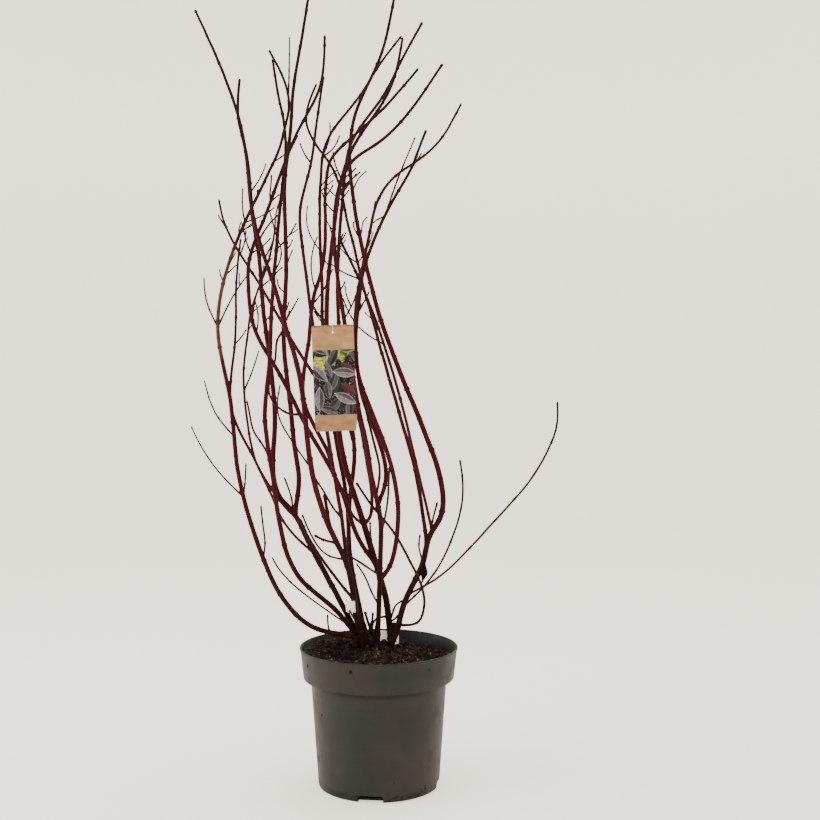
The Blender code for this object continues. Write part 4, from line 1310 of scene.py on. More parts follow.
@dataclass
class CaneBark:
    """Round bark with the relief of real canes: swollen buds, ribs, pores and a bud at the tip."""

    ring_step: float = 3.0 * MM
    sides: int = 14
    bud_spacing: Pair = (48.0 * MM, 74.0 * MM)
    swell: float = 0.14
    paired_swell: float = 0.09
    swell_length: float = 4.5 * MM
    tip_bud: float = 7.0 * MM
    tip_bud_swell: float = 0.6
    least_radius: float = 0.12 * MM
    root_flare: float = 0.45
    root_flare_length: float = 9.0 * MM
    ribs: float = 0.022
    wander: float = 0.5 * MM
    thickness: Pair = (0.36 * MM, 0.75 * MM)
    young_swell: float = 0.16
    wander_pitch: float = 40.0 * MM
    rib_pitch: float = 26.0 * MM
    pair_pitch: float = 62.0 * MM
    fade: float = 30.0 * MM

    def nodes(self, length: float, seed: int) -> Array:
        """Distances along a cane at which its pairs of buds stand.

        Args:
            length: The cane's length.
            seed: The cane's seed.

        Returns:
            The distances.
        """
        rng = np.random.default_rng(seed)
        steps = rng.uniform(*self.bud_spacing, int(length / self.bud_spacing[0]) + 1)
        at = np.cumsum(steps) - 0.5 * steps[0]
        return at[at < length - 2.5 * self.tip_bud]

    def rings(self, line: Line, seed: int) -> tuple[Array, Array, Array, Array]:
        """Where the rings stand, closer at the buds, and how far each is swollen.

        Args:
            line: The cane's line.
            seed: The cane's seed.

        Returns:
            The rings' middles, radii, distances along the cane, and nearness to a bud.
        """
        run = run_along(line.points)
        length = run[-1]
        buds = self.nodes(length, seed)
        close = (buds[:, None] + np.array([-0.5, -0.15, 0.2]) * self.swell_length).ravel()
        tip = length - self.tip_bud * np.array([1.0, 0.8, 0.55, 0.32, 0.15, 0.04, 0.0])
        even = np.arange(0.0, length - self.tip_bud, self.ring_step)
        at = np.unique(np.round(np.concatenate([even, close, tip]), 6))
        away = np.abs(at[:, None] - buds).min(axis=1) if len(buds) else np.full(len(at), 1.0)
        bud = np.exp(-((away / (0.5 * self.swell_length)) ** 2))
        radii = np.interp(at, run, line.radii) + np.interp(at, (0.0, length), self.thickness)
        radii = radii * (1 + (self.swell + self.young_swell * at / length) * bud)
        from_tip = (length - at) / self.tip_bud
        within = np.clip(from_tip, 0, 1)
        shape = np.sqrt(within) * (1 + self.tip_bud_swell * np.sin(math.pi * within))
        bud = np.maximum(bud, np.clip(1.6 - 1.2 * from_tip, 0, 1))
        return at_run(line.points, run, at), np.maximum(radii * shape, self.least_radius), at, bud

    def add(
        self, shell: Shell, line: Line, seed: int, rooted: bool,
        age: Pair = (0.0, 1.0), tan: Pair = (0.0, 0.0), sides: int = 0,
    ) -> None:
        """Adds one cane's bark: points = middle + radius * (1 + ribs + paired swelling) * turned unit vector.

        Args:
            shell: The mesh that takes it.
            line: The cane's line.
            seed: The cane's seed.
            rooted: Whether it springs from another cane, with a flare round its root.
            age: The age value at its foot and at its tip.
            tan: The range of heights in mm where it is weathered tan.
            sides: How many sides it has, or 0 for the usual number.
        """
        sides = sides or self.sides
        middle, radii, at, bud = self.rings(line, seed)
        if rooted:
            radii = radii * (1 + self.root_flare * np.exp(-((at / self.root_flare_length) ** 2)))
        along = directions(middle)
        across, other = axes(along)
        hold = np.clip(at / self.fade, 0, 1) * np.clip((at[-1] - at) / self.fade, 0, 1) * self.wander
        for offset, axis in ((1, across), (2, other)):
            wander = smooth_noise(at[:, None] / self.wander_pitch, seed + offset) * hold
            middle = middle + axis * wander[:, None]
        rolled = around(np.full(len(at), 1.5), at / self.rib_pitch, sides).reshape(-1, 3)
        relief = (1 + self.ribs * smooth_noise(rolled, seed + 3, 12)).reshape(len(at), sides)
        turn = np.arange(sides) * 2 * math.pi / sides
        opposite = np.cos(2 * (turn[None] + (at[:, None] // self.pair_pitch) * math.pi / 2))
        relief += self.paired_swell * bud[:, None] * opposite
        rings = square_rings(middle, radii[:, None] * relief, across, other)
        grain = around(radii, at + seed * 0.37, sides)
        share, heights = at / at[-1], middle[:, 2]
        low, high = (limit * MM for limit in tan)
        worn = ease((heights - low) / self.fade) * ease((high - heights) / self.fade) * (high > low)
        shell.add(
            *closed(rings, middle[0], middle[-1]),
            age=self._spread(age[0] + (age[1] - age[0]) * share, sides),
            bud=self._spread(bud, sides),
            tan=self._spread(worn, sides),
            grain=np.vstack([grain.reshape(-1, 3), grain[0].mean(axis=0), grain[-1].mean(axis=0)]),
        )

    @staticmethod
    def _spread(value: Array, sides: int) -> Array:
        """One value for each point of every ring and for the two poles."""
        return np.concatenate([np.repeat(value, sides), value[:1], value[-1:]])


@dataclass
class Buds:
    """Narrow pointed buds pressed against the young wood in opposite pairs."""

    length: float = 4.6 * MM
    girth: float = 1.7 * MM
    lean: float = math.radians(13.0)
    sizes: Pair = (0.75, 1.15)
    sides: int = 5
    profile: tuple[Pair, ...] = ((0.0, 0.55), (0.22, 1.0), (0.5, 0.92), (0.8, 0.45), (1.0, 0.06))

    def template(self) -> tuple[Array, Array, Array]:
        """One bud along +Z: a turned profile of (height share, radius share).

        Returns:
            Its points, quads and triangles.
        """
        height, wide = np.array(self.profile).T
        rings = around(wide * self.girth / 2, height * self.length, self.sides)
        return closed(rings, (0, 0, 0), (0, 0, self.length))

    def add(self, shell: Shell, line: Line, at: Array, seed: int, scale: float = 1.0) -> None:
        """Adds a pair of buds at each distance along a line.

        Args:
            shell: The mesh that takes them.
            line: The cane's or twig's line.
            at: The distances.
            seed: The seed of their sizes.
            scale: How large they are beside the usual size.
        """
        if not len(at):
            return
        rng = np.random.default_rng(seed)
        run = run_along(line.points)
        middle, radius = at_run(line.points, run, at), np.interp(at, run, line.radii)
        along = unit(at_run(directions(line.points), run, at))
        out = np.where((np.arange(len(at)) % 2)[:, None], *axes(along))
        points, quads, ends = self.template()
        for sign in (-1, 1):
            side = sign * out
            up = math.cos(self.lean) * along + math.sin(self.lean) * side
            flat = unit(np.cross(up, side))
            size = scale * rng.uniform(*self.sizes, len(at))
            basis = np.stack([np.cross(flat, up), flat, up], axis=1) * size[:, None, None]
            root = middle + side * (radius * 1.02)[:, None]
            shell.add_copies(root[:, None] + np.einsum("pk,nkd->npd", points, basis), quads, ends)


BARKS = {
    Wood.RED: BarkFinish(
        "red_cane_bark", (0.02, 0.0045, 0.0055), (0.046, 0.004, 0.0085), (0.043, 0.0045, 0.0085),
        (0.013, 0.005, 0.0055)),
    Wood.GREY: BarkFinish(
        "grey_twig_bark", (0.045, 0.04, 0.033), (0.05, 0.046, 0.037), (0.04, 0.036, 0.03),
        (0.02, 0.018, 0.015)),
    Wood.TAN: BarkFinish(
        "tan_shoot_bark", (0.07, 0.032, 0.018), (0.1, 0.052, 0.024), (0.06, 0.028, 0.015),
        (0.02, 0.01, 0.008)),
    Wood.DEAD: BarkFinish(
        "dead_stub_bark", (0.012, 0.009, 0.008), (0.016, 0.011, 0.01), (0.013, 0.009, 0.008),
        (0.012, 0.008, 0.008), pore=(0.03, 0.024, 0.02)),
}


@dataclass
class Crown:
    """Every cane of the clump with its bark, twigs and buds."""

    clump: Clump
    bark: CaneBark
    buds: Buds
    thin: CaneBark = field(default_factory=lambda: CaneBark(thickness=(0.7 * MM, 0.95 * MM)))
    fine_chance: float = 0.16
    fine_start: Pair = (18.0, 40.0)
    fine_lengths: Pair = (14.0 * MM, 42.0 * MM)
    fine_girth: Pair = (1.7 * MM, 1.1 * MM)
    fine_lean: float = math.radians(48.0)
    fine_band: Pair = (800.0 * MM, 1120.0 * MM)
    fine_spacing: float = 34.0 * MM
    fine_run_share: float = 0.85
    bud_start: float = 0.5
    sunk: float = 16.0 * MM
    branch_age: float = 0.22
    shoot_age: float = 0.7
    strand_age: Pair = (0.5, 0.9)
    thin_girth: float = 4.0
    thin_sides: int = 10
    twig_sides: int = 7
    seed_step: int = 11
    spray_step: int = 31
    twig_bud_spacing: float = 22.0 * MM
    fine_bud_spacing: float = 18.0 * MM
    bud_free_tip: float = 8.0 * MM
    twig_colours: tuple[tuple[str, Colour], ...] = (
        ("twig_burgundy", (0.032, 0.003, 0.0055)),
        ("twig_brown", (0.026, 0.008, 0.0065)),
        ("twig_dark", (0.013, 0.005, 0.005)),
    )

    def build(self) -> None:
        """Builds the canes, one piece each, and the joined twigs and buds."""
        finishes = {wood: look.material() for wood, look in BARKS.items()}
        for number, stem in enumerate(STEMS):
            self._cane(stem, number, finishes, [*self._boughs(stem), f"spray_{stem.name}"])
        for number, stem in enumerate(SHOOTS):
            self._cane(stem, Seed.SHOOT + number, finishes, [f"shoot_{stem.name}"])
        strands = {wood: Shell() for wood in (Wood.RED, Wood.GREY, Wood.DEAD)}
        for number, stem in enumerate(STRANDS):
            line, seed = self.clump.fine[stem.name], Seed.STRAND + number
            self.thin.add(strands[stem.wood], line, seed, True, self.strand_age, sides=self.thin_sides)
        for wood, shell in strands.items():
            shell.piece(f"strands_{wood.value}", Slot.TWIG, [finishes[wood]])
        self._twigs()

    @staticmethod
    def _boughs(stem: Stem) -> list[str]:
        """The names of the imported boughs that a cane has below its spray."""
        marks = ("_lower", "_upper") if len(stem.cuts) > 1 else ("",)
        return [f"bough_{stem.name}{mark}" for mark in marks]

    def _cane(self, stem: Stem, number: int, finishes: dict[Wood, Material], nodes: list[str]) -> None:
        """One cane from its foot to its tip, which stands for its boughs and its spray's stem.

        Args:
            stem: The cane.
            number: Its number, which seeds its relief.
            finishes: The bark by kind of wood.
            nodes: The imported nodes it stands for.
        """
        shell, line = Shell(), self.clump.fine[stem.name]
        bark, slot, old = self.bark, Slot.STEM, self.branch_age
        if stem in SHOOTS:
            bark, slot, old = self.thin, Slot.TWIG, self.shoot_age
        if not stem.parent:
            line, old = line.sunk(self.sunk), 0.0
        sides = self.bark.sides if stem.girth[0] > self.thin_girth else self.thin_sides
        bark.add(shell, line, number * self.seed_step, bool(stem.parent), (old, 1.0), stem.tan, sides)
        piece = shell.piece(f"cane_{stem.name}", slot, [finishes[stem.wood]])
        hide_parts(*nodes)

    def _twigs(self) -> None:
        """Joined twigs and buds, their plain colours dealt out by spray."""
        finishes = [TwigFinish(name, colour).material() for name, colour in self.twig_colours]
        bud_finish = TwigFinish("bud_scales", (0.01, 0.0045, 0.0045), 0.5).material()
        twigs, buds = Shell(), Shell()
        plain = CaneBark(
            ring_step=5.0 * MM, sides=self.twig_sides, bud_spacing=(20.0 * MM, 34.0 * MM), tip_bud=5.0 * MM,
            wander=0.2 * MM, thickness=(0.45 * MM, 0.6 * MM), root_flare=0.7, root_flare_length=4.0 * MM,
        )
        clump = self.clump
        taken = [clump.coarse[stem.name] for stem in STEMS + SHOOTS]
        for seed, stem in enumerate(STEMS):
            trunk, cane = clump.coarse[stem.name], clump.fine[stem.name]
            spray = trunk.above(stem.cuts[-1] * MM)
            drawn = [clump.outline_twig(twig, spray) for twig in TWIGS if twig.stem == stem.name]
            others = [line for line in taken if line is not trunk]
            ruled = [twig for twig in clump.rule_twigs(spray, others + drawn, seed) if clump.sheltered(twig)]
            taken += drawn + ruled
            finer = self._finer(spray, drawn + ruled, taken, Seed.FINER + seed)
            taken += finer
            for count, line in enumerate(drawn + ruled + finer, seed * self.spray_step):
                self._twig(twigs, plain, line, Seed.TWIG + count, seed % len(finishes))
                at = self._bud_places(line, self.twig_bud_spacing)
                self.buds.add(buds, line, at, Seed.TWIG_BUD + count, 0.7)
            run = run_along(cane.points)[-1]
            at = self.bark.nodes(run, seed * self.seed_step)
            self.buds.add(buds, cane, at[at > run * self.bud_start], Seed.CANE_BUD + seed)
        for number, stem in enumerate(FINE_TWIGS):
            line = clump.fine[stem.name]
            self._twig(twigs, plain, line, Seed.FINE_TWIG + number, number % len(finishes))
            at = self._bud_places(line, self.fine_bud_spacing)
            self.buds.add(buds, line, at, Seed.FINE_BUD + number, 0.6)
        twigs.values.clear()
        for number, stem in enumerate(SHOOTS):
            cane = clump.fine[stem.name]
            at = self.bark.nodes(run_along(cane.points)[-1], (Seed.SHOOT + number) * self.seed_step)
            self.buds.add(buds, cane, at[1:], Seed.SHOOT_BUD + number, 0.75)
        piece = twigs.piece("crown_twigs", Slot.TWIG, finishes)
        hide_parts(*(f"spray_{stem.name}" for stem in STEMS))
        buds.piece("buds", Slot.TWIG, [bud_finish])

    def _bud_places(self, line: Line, spacing: float) -> Array:
        """Distances along a twig at which its buds stand."""
        return np.arange(spacing, run_along(line.points)[-1] - self.bud_free_tip, spacing)

    def _twig(self, shell: Shell, bark: CaneBark, line: Line, seed: int, finish: int) -> None:
        """One twig, its line smoothed through its few points.

        Args:
            shell: The mesh that takes it.
            bark: The relief it has.
            line: Its line.
            seed: Its seed.
            finish: The number of its material.
        """
        points = line.points
        if len(points) == self.clump.twig_rings:
            points = spline(points, bark.ring_step)
        share = np.linspace(0, 1, len(points))
        radii = np.interp(share, np.linspace(0, 1, len(line.radii)), line.radii)
        before = len(shell.quads)
        bark.add(shell, Line(points, radii), seed, True)
        shell.quad_finish[before][:] = finish
        shell.triangle_finish[before][:] = finish

    def _finer(self, spray: Line, bearers: list[Line], taken: list[Line], seed: int) -> list[Line]:
        """Shorter, thinner twigs between the spray's own, from its stem and from its twigs.

        Args:
            spray: The stem's line above its last cut.
            bearers: The twigs on it.
            taken: The lines to stay clear of.
            seed: The seed of this spray.

        Returns:
            The finer twigs' lines.
        """
        rng, clump = np.random.default_rng(seed), self.clump
        found: list[Line] = []
        for line in [spray, *bearers]:
            end = run_along(line.points)[-1] * self.fine_run_share
            for at in np.arange(rng.uniform(*self.fine_start) * MM, end, self.fine_spacing):
                chance, length = rng.random(), rng.uniform(*self.fine_lengths)
                turn = rng.uniform(0, 2 * math.pi)
                point, along = line.station(at)
                if chance > self.fine_chance or not self.fine_band[0] < point[2] < self.fine_band[1]:
                    continue
                across, other = axes(along[None])
                side = math.cos(turn) * across[0] + math.sin(turn) * other[0]
                twig = clump.grown(point, along, side, length, self.fine_lean)
                twig = Line(twig.points, np.linspace(*self.fine_girth, len(twig.radii)) / 2)
                rest = [near for near in taken + found if near is not line]
                if clump.inward(twig) and clump.sheltered(twig) and clump.clear(twig, rest):
                    found.append(twig)
        return found


@dataclass(frozen=True)
class Lump:
    """A lump of old wood: its middle and its half sizes, in mm."""

    middle: Point
    half: Point


@dataclass
class CrownWood:
    """The knotty old wood at soil level, in which the feet of each side's canes run together.

    The feet and a few lumps are joined, recast on a fine cubic grid, smoothed, and then
    roughened along the surface's own directions.
    """

    clump: Clump
    cell: float = 1.2 * MM
    lumps: dict[str, tuple[Lump, ...]] = field(default_factory=lambda: {
        "left": (
            Lump((-30, 36, 244), (16, 20, 12)), Lump((-13, 24, 242), (8, 9, 8)),
            Lump((-35, 22, 258), (11, 15, 15)), Lump((-18, 24, 256), (6, 8, 11)),
            Lump((-40, 10, 264), (7, 8, 8)), Lump((-34, 14, 248), (9, 9, 11)),
            Lump((-30, 24, 282), (8, 11, 16))),
        "right": (
            Lump((20, 34, 239), (13, 15, 7)), Lump((22, 34, 250), (6, 9, 14)),
            Lump((26, 34, 272), (8.5, 11, 11)), Lump((28, 34, 284), (7.5, 10, 12)),
            Lump((0, 22, 243), (8, 8, 9))),
    })
    reach: dict[str, float] = field(default_factory=lambda: {"left": 52.0 * MM, "right": 62.0 * MM})
    flare: dict[str, Pair] = field(default_factory=lambda: {"left": (1.3, 0.84), "right": (1.0, 0.9)})
    sunk: float = 18.0 * MM
    foot_sides: int = 12
    lump_rows: int = 14
    lump_sides: int = 20
    relief: float = 1.5 * MM
    smoothing: tuple[float, int] = (0.5, 16)

    def build(self) -> None:
        """Builds the old wood of both sides."""
        low, high = (0.013, 0.0032, 0.004), (0.018, 0.0036, 0.0048)
        pore = (0.06, 0.035, 0.028)
        finish = BarkFinish(
            "old_wood_bark", low, low, high, high, pore=pore, streak_scale=420.0, relief=1.2 * MM).material()
        for seed, side in enumerate(self.lumps):
            shell = Shell()
            for stem in STEMS:
                if stem.stool == side:
                    self._foot(shell, self.clump.fine[stem.name].sunk(self.sunk), side)
            points, *faces = ball(self.lump_rows, self.lump_sides)
            for lump in self.lumps[side]:
                shell.add((points * lump.half + lump.middle) * MM, *faces)
            piece = shell.piece(f"old_wood_{side}", Slot.STEM, [finish])
            self._recast(piece, seed)
            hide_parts(f"stool_{side}")

    def _foot(self, shell: Shell, line: Line, side: str) -> None:
        """A cane's foot, thickened at the soil and sinking into the cane at its upper end.

        Args:
            shell: The mesh that takes it.
            line: The cane's line, carried down into the soil.
            side: The side it stands on.
        """
        run, reach = run_along(line.points), self.reach[side]
        at = np.arange(0.0, reach, 2.5 * MM)
        middle = at_run(line.points, run, at)
        radii = np.interp(at, run, line.radii) * np.interp(at, (0.0, reach), self.flare[side])
        reach = np.repeat(radii[:, None], self.foot_sides, axis=1)
        rings = square_rings(middle, reach, *axes(directions(middle)))
        shell.add(*closed(rings, middle[0], middle[-1]))

    def _recast(self, piece: bpy.types.Object, seed: int) -> None:
        """Fuses a piece's bodies into one skin and gives it furrows and knots by summed sines.

        Args:
            piece: The piece.
            seed: The seed of its relief.
        """
        recast = piece.modifiers.new("recast", "REMESH")
        recast.mode = "VOXEL"
        recast.voxel_size = self.cell
        smooth = piece.modifiers.new("smooth", "SMOOTH")
        smooth.factor, smooth.iterations = self.smoothing
        mesh = applied(piece)
        count = len(mesh.vertices)
        points, normals = (np.empty((count, 3), np.float32) for _ in range(2))
        mesh.vertices.foreach_get("co", points.ravel())
        mesh.vertices.foreach_get("normal", normals.ravel())
        points = points.astype(float)
        knots = smooth_noise(points / (9 * MM), Seed.KNOT + seed, 12)
        furrows = smooth_noise(points / (np.array([3.2, 3.2, 11.0]) * MM), Seed.FURROW + seed, 18)
        points = points + normals * (self.relief * (0.55 * knots + 0.45 * furrows))[:, None]
        points = points.astype(np.float32).ravel()
        mesh.vertices.foreach_set("co", points)
        mesh.attributes.new("grain", "FLOAT_VECTOR", "POINT").data.foreach_set("vector", points)
        mesh.shade_smooth()
        mesh.update()


# Pot and compost


@dataclass
class Pot:
    """The round nursery pot: tapered body, stepped collar with a rolled lip, drain notches."""

    rim_radius: float = 147.2 * MM
    rim_height: float = 258.5 * MM
    lip_proud: float = 1.6 * MM
    collar_foot_radius: float = 140.0 * MM
    collar_foot_height: float = 201.5 * MM
    body_top_radius: float = 126.4 * MM
    body_foot_radius: float = 112.5 * MM
    wall: float = 2.2 * MM
    floor: float = 4.0 * MM
    sides: int = 192
    notch_count: int = 4
    notch_width: float = 45.0 * MM
    notch_height: float = 12.5 * MM
    notch_depth: float = 16.0 * MM
    notch_corner: float = 5.0 * MM
    notch_turn: float = math.radians(-96.6)
    crisp: float = math.radians(32.0)
    specks: tuple[tuple[float, float, float, float], ...] = (
        (-46, 243, 6.6, 1.0), (-127, 237, 4.4, 1.3), (92, 241, 3.4, 2.0), (-102, 147, 3.6, 1.2),
        (-55, 242, 2.2, 1.0), (33, 232, 1.6, 1.0), (30, 117, 1.9, 1.0), (30, 36, 2.2, 1.2),
        (-64, 40, 2.4, 1.0), (88, 132, 1.6, 1.0), (-96, 214, 1.8, 1.0), (85, 17, 2.6, 3.4),
    )

    def inner_radius(self, height: float) -> float:
        """The inside radius at a height on the body or the collar.

        Args:
            height: The height in metres.

        Returns:
            The radius there.
        """
        if height < self.collar_foot_height:
            share = height / self.collar_foot_height
            return self.body_foot_radius + (self.body_top_radius - self.body_foot_radius) * share - self.wall
        share = (height - self.collar_foot_height) / (self.rim_height - self.collar_foot_height)
        top = self.rim_radius - self.lip_proud
        return self.collar_foot_radius + (top - self.collar_foot_radius) * share - self.wall

    @staticmethod
    def _near(radius: float, height: float, *offsets: Pair) -> Array:
        """Points of the profile at offsets in mm from one of its corners."""
        return np.array(offsets) * MM + (radius, height)

    def profile(self) -> Array:
        """(radius, height) from the foot's middle up the outside and down the inside, rounded.

        Returns:
            The corners, as (n, 2).
        """
        near, inside, rim, step = self._near, self.inner_radius, self.rim_height, self.collar_foot_height
        top, collar = self.rim_radius - self.lip_proud, self.collar_foot_radius
        foot, body = self.body_foot_radius, self.body_top_radius
        share = np.array([0.05, 0.08, 0.2, 0.33, 0.5, 0.66, 0.83])[:, None]
        return np.vstack([
            (1.0 * MM, 0.0),
            (foot * 0.5, 0.0),
            near(foot, 0.0, (-3.0, 0.0), (-0.9, 0.9), (0.0, 3.0)),
            (foot, 0.0) + share * (body - foot, step),
            near(body, step, (-0.3, -4.0), (0.6, -1.8), (2.2, -0.7)),
            near(collar, step, (-1.8, -0.1), (-0.5, 0.3), (0.0, 1.4)),
            ((collar + top) / 2, (step + rim) / 2),
            near(top, rim, (-0.1, -5.2), (0.3, -4.0)),
            near(self.rim_radius, rim, (-0.4, -3.5), (0.0, -2.4), (0.0, -1.2), (-0.5, -0.3), (-1.4, 0.0)),
            near(inside(rim), rim, (0.6, -0.2), (0.0, -1.2)),
            (inside(step + 20 * MM), step + 20 * MM),
            (collar - self.wall, step + self.wall),
            (inside(step - MM), step + self.wall - 0.6 * MM),
            (inside(step * 0.5), step * 0.5),
            near(inside(self.floor), self.floor, (0.0, 1.0), (-2.0, 0.0)),
            (1.0 * MM, self.floor),
        ])

    def build(self) -> None:
        """Turns the profile, cuts the notches and puts the plastic on."""
        shell = Shell()
        shell.add(*closed(around(*self.profile().T, self.sides), (0, 0, 0), (0, 0, self.floor)))
        pot = shell.piece("nursery_pot", Slot.POT, [PlasticFinish("nursery_plastic").material()])
        for count in range(self.notch_count):
            self._cut_notch(pot, self.notch_turn + count * 2 * math.pi / self.notch_count)
        pot.data.shade_smooth()
        pot.data.set_sharp_from_angle(angle=self.crisp)
        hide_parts("pot")
        self._specks()

    def _specks(self) -> None:
        """Crumbs of compost stuck to the outside, each a small lumpy ball half sunk in the wall."""
        rng = np.random.default_rng(Seed.SPECK)
        shell = Shell()
        points, quads, ends = ball(6, 7)
        for across, height, size, tall in self.specks:
            radius = self.inner_radius(height * MM) + self.wall
            place = np.array((across * MM, -math.sqrt(radius**2 - (across * MM) ** 2), height * MM))
            rough = 1 + rng.uniform(-0.3, 0.3, len(points))[:, None]
            shell.add(points * rough * size * MM / 2 * (1.0, 0.6, tall) + place, quads, ends)
        shell.piece("compost_specks", Slot.COMPOST, [CompostFinish("dried_compost").material()])

    def _cut_notch(self, pot: bpy.types.Object, turn: float) -> None:
        """Cuts one drain notch, rounded at its upper corners, and applies the cut.

        Args:
            pot: The pot's piece.
            turn: The notch's direction round the upright axis.
        """
        half, height, foot = self.notch_width / 2, self.notch_height, self.body_foot_radius
        arc = np.linspace(0, math.pi / 2, 7)
        right = (half, height) + self.notch_corner * np.column_stack([np.cos(arc) - 1, np.sin(arc) - 1])
        outline = np.vstack([(-half, -height), (half, -height), right, right[::-1] * (-1, 1)])
        count, ends = len(outline), (foot - self.notch_depth, foot + self.notch_depth)
        points = np.vstack([np.insert(outline, 1, y, axis=1) for y in ends])
        caps = [list(range(count)), list(range(count, 2 * count))[::-1]]
        faces = grid_faces(2, count)[:, ::-1].tolist() + caps
        mesh = bpy.data.meshes.new("notch")
        mesh.from_pydata(points.tolist(), [], faces)
        mesh.transform(Matrix.Rotation(turn - math.pi / 2, 4, "Z"))
        cutter = linked("notch", mesh)
        cut = pot.modifiers.new("notch", "BOOLEAN")
        cut.operation = "DIFFERENCE"
        cut.object = cutter
        applied(pot)
        bpy.data.objects.remove(cutter)


@dataclass
class Compost:
    """Crumbly compost heaped a little round the crown, with bark chips and root fibres on it."""

    pot: Pot
    height: float = 240.0 * MM
    dip: float = 3.2 * MM
    under: float = 22.0 * MM
    edge_drop: float = 8.0 * MM
    edge_gap: float = 0.4 * MM
    narrowing: float = 0.985
    rows: int = 96
    sides: int = 288
    mound: float = 13.0 * MM
    mound_back: float = 32.0 * MM
    mound_radius: float = 58.0 * MM
    lump: float = 2.6 * MM
    lump_pitch: float = 18.0 * MM
    crumb: float = 1.1 * MM
    crumb_pitch: float = 4.5 * MM
    dust: float = 0.66 * MM
    dust_pitch: float = 2.1 * MM
    tilt: float = -0.01
    heap: float = 13.5 * MM
    heap_side: Pair = (0.85, 0.6)
    heap_start: float = 10.0 * MM
    heap_run: float = 95.0 * MM
    clods: int = 560
    chips: int = 1000
    fibres: int = 150

    def surface(self, x: Array, y: Array) -> Array:
        """The compost's height: a mound round the crown, a heap to one side, lumps and crumbs by sines.

        Args:
            x: Places across.
            y: Places front to back.

        Returns:
            The height at each.
        """
        away = np.hypot(x, y - self.mound_back)
        place = np.column_stack([x, y])
        mound = self.mound * np.exp(-((away / self.mound_radius) ** 2))
        lumps = self.lump * smooth_noise(place / self.lump_pitch, Seed.LUMP, 16)
        crumbs = self.crumb * smooth_noise(place / self.crumb_pitch, Seed.CRUMB, 24)
        crumbs += self.dust * smooth_noise(place / self.dust_pitch, Seed.DUST, 30)
        towards = self.heap_side[1] * y - self.heap_side[0] * x
        heap = self.heap * ease((towards - self.heap_start) / self.heap_run)
        return self.height - self.dip + mound + lumps + crumbs + heap + self.tilt * x

    def build(self) -> None:
        """Builds the compost and what lies on it."""
        edge = self.pot.inner_radius(self.height - self.edge_drop) - self.edge_gap
        radius = edge * np.linspace(0, 1, self.rows)[1:]
        rings = around(radius, 0 * radius, self.sides)
        rings[..., 2] = self.surface(*rings[..., :2].reshape(-1, 2).T).reshape(rings.shape[:2])
        low = (0.0, 0.0, self.height - self.under)
        rings = np.vstack([rings, rings[-1:] * (self.narrowing, self.narrowing, 0.0) + low])
        top = (0.0, 0.0, self.surface(np.zeros(1), np.zeros(1))[0])
        points, quads, ends = closed(rings, top, low)
        shell = Shell()
        shell.add(points, quads[:, ::-1], ends[:, ::-1])
        piece = shell.piece("compost_top", Slot.COMPOST, [CompostFinish("moist_compost").material()])
        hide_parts("soil")
        self._clods(edge)
        self._chips(edge)
        self._fibres(edge)

    def _spots(self, rng: np.random.Generator, count: int, edge: float) -> Array:
        """Places spread evenly over the compost, on its surface.

        Args:
            rng: The random source.
            count: How many.
            edge: The radius they stay within.

        Returns:
            The places, as (n, 3).
        """
        radius, turn = edge * 0.97 * np.sqrt(rng.random(count)), rng.uniform(0, 2 * math.pi, count)
        x, y = radius * np.cos(turn), radius * np.sin(turn)
        return np.column_stack([x, y, self.surface(x, y)])

    def _clods(self, edge: float) -> None:
        """Clods of peat: balls of random half sizes, dented at each point at random.

        Args:
            edge: The compost's radius.
        """
        rng = np.random.default_rng(Seed.CLOD)
        unit, quads, ends = ball(7, 8)
        half = (rng.gamma(2.2, 1.2, self.clods)[:, None] + 1.5) * rng.uniform(0.7, 1.2, (self.clods, 3)) * MM
        dent = 1 + rng.uniform(-0.28, 0.22, (self.clods, len(unit)))
        place = self._spots(rng, self.clods, edge - 8 * MM)
        shell = Shell()
        shell.add_copies(unit[None] * dent[..., None] * half[:, None] + place[:, None], quads, ends)
        shell.piece("peat_clods", Slot.COMPOST, [CompostFinish("peat_clods").material()])

    def _chips(self, edge: float) -> None:
        """Flat chips: an eight-cornered box with its corners moved at random, in three browns.

        Args:
            edge: The compost's radius.
        """
        rng = np.random.default_rng(Seed.CHIP)
        square = ((-0.5, -0.5), (0.5, -0.5), (0.5, 0.5), (-0.5, 0.5))
        box = np.array([(x, y, z) for z in (-0.5, 0.5) for x, y in square])
        quads = np.array([(0, 3, 2, 1), (4, 5, 6, 7), (0, 1, 5, 4), (1, 2, 6, 5), (2, 3, 7, 6), (3, 0, 4, 7)])
        finishes = [
            TwigFinish("chip_tan", (0.19, 0.13, 0.095), 0.8),
            TwigFinish("chip_brown", (0.06, 0.028, 0.019), 0.8),
            TwigFinish("chip_dark", (0.006, 0.003, 0.0026), 0.85),
        ]
        count = self.chips
        long, wide = rng.gamma(2.4, 1.6, count) + 1.6, rng.gamma(2.4, 0.7, count) + 1.0
        size = np.column_stack([long, wide, rng.uniform(0.6, 1.8, count)]) * MM
        corners = box + rng.uniform(-0.16, 0.16, (count, 8, 3))
        yaw = rng.uniform(0, 2 * math.pi, count)
        tip, roll = rng.normal(0, 0.35, count), rng.normal(0, 0.35, count)
        place = self._spots(rng, count, edge - 6 * MM) + (0, 0, 0.5 * MM)
        shade = rng.choice(3, count, p=(0.2, 0.42, 0.38))
        turns = (0, 1, yaw), (2, 0, tip), (1, 2, roll)
        corners = self._turned(corners * size[:, None], *turns) + place[:, None]
        shell = Shell()
        for kind in range(3):
            shell.add_copies(corners[shade == kind], quads, finish=kind)
        piece = shell.piece("bark_chips", Slot.COMPOST, [finish.material() for finish in finishes])
        piece.data.shade_flat()

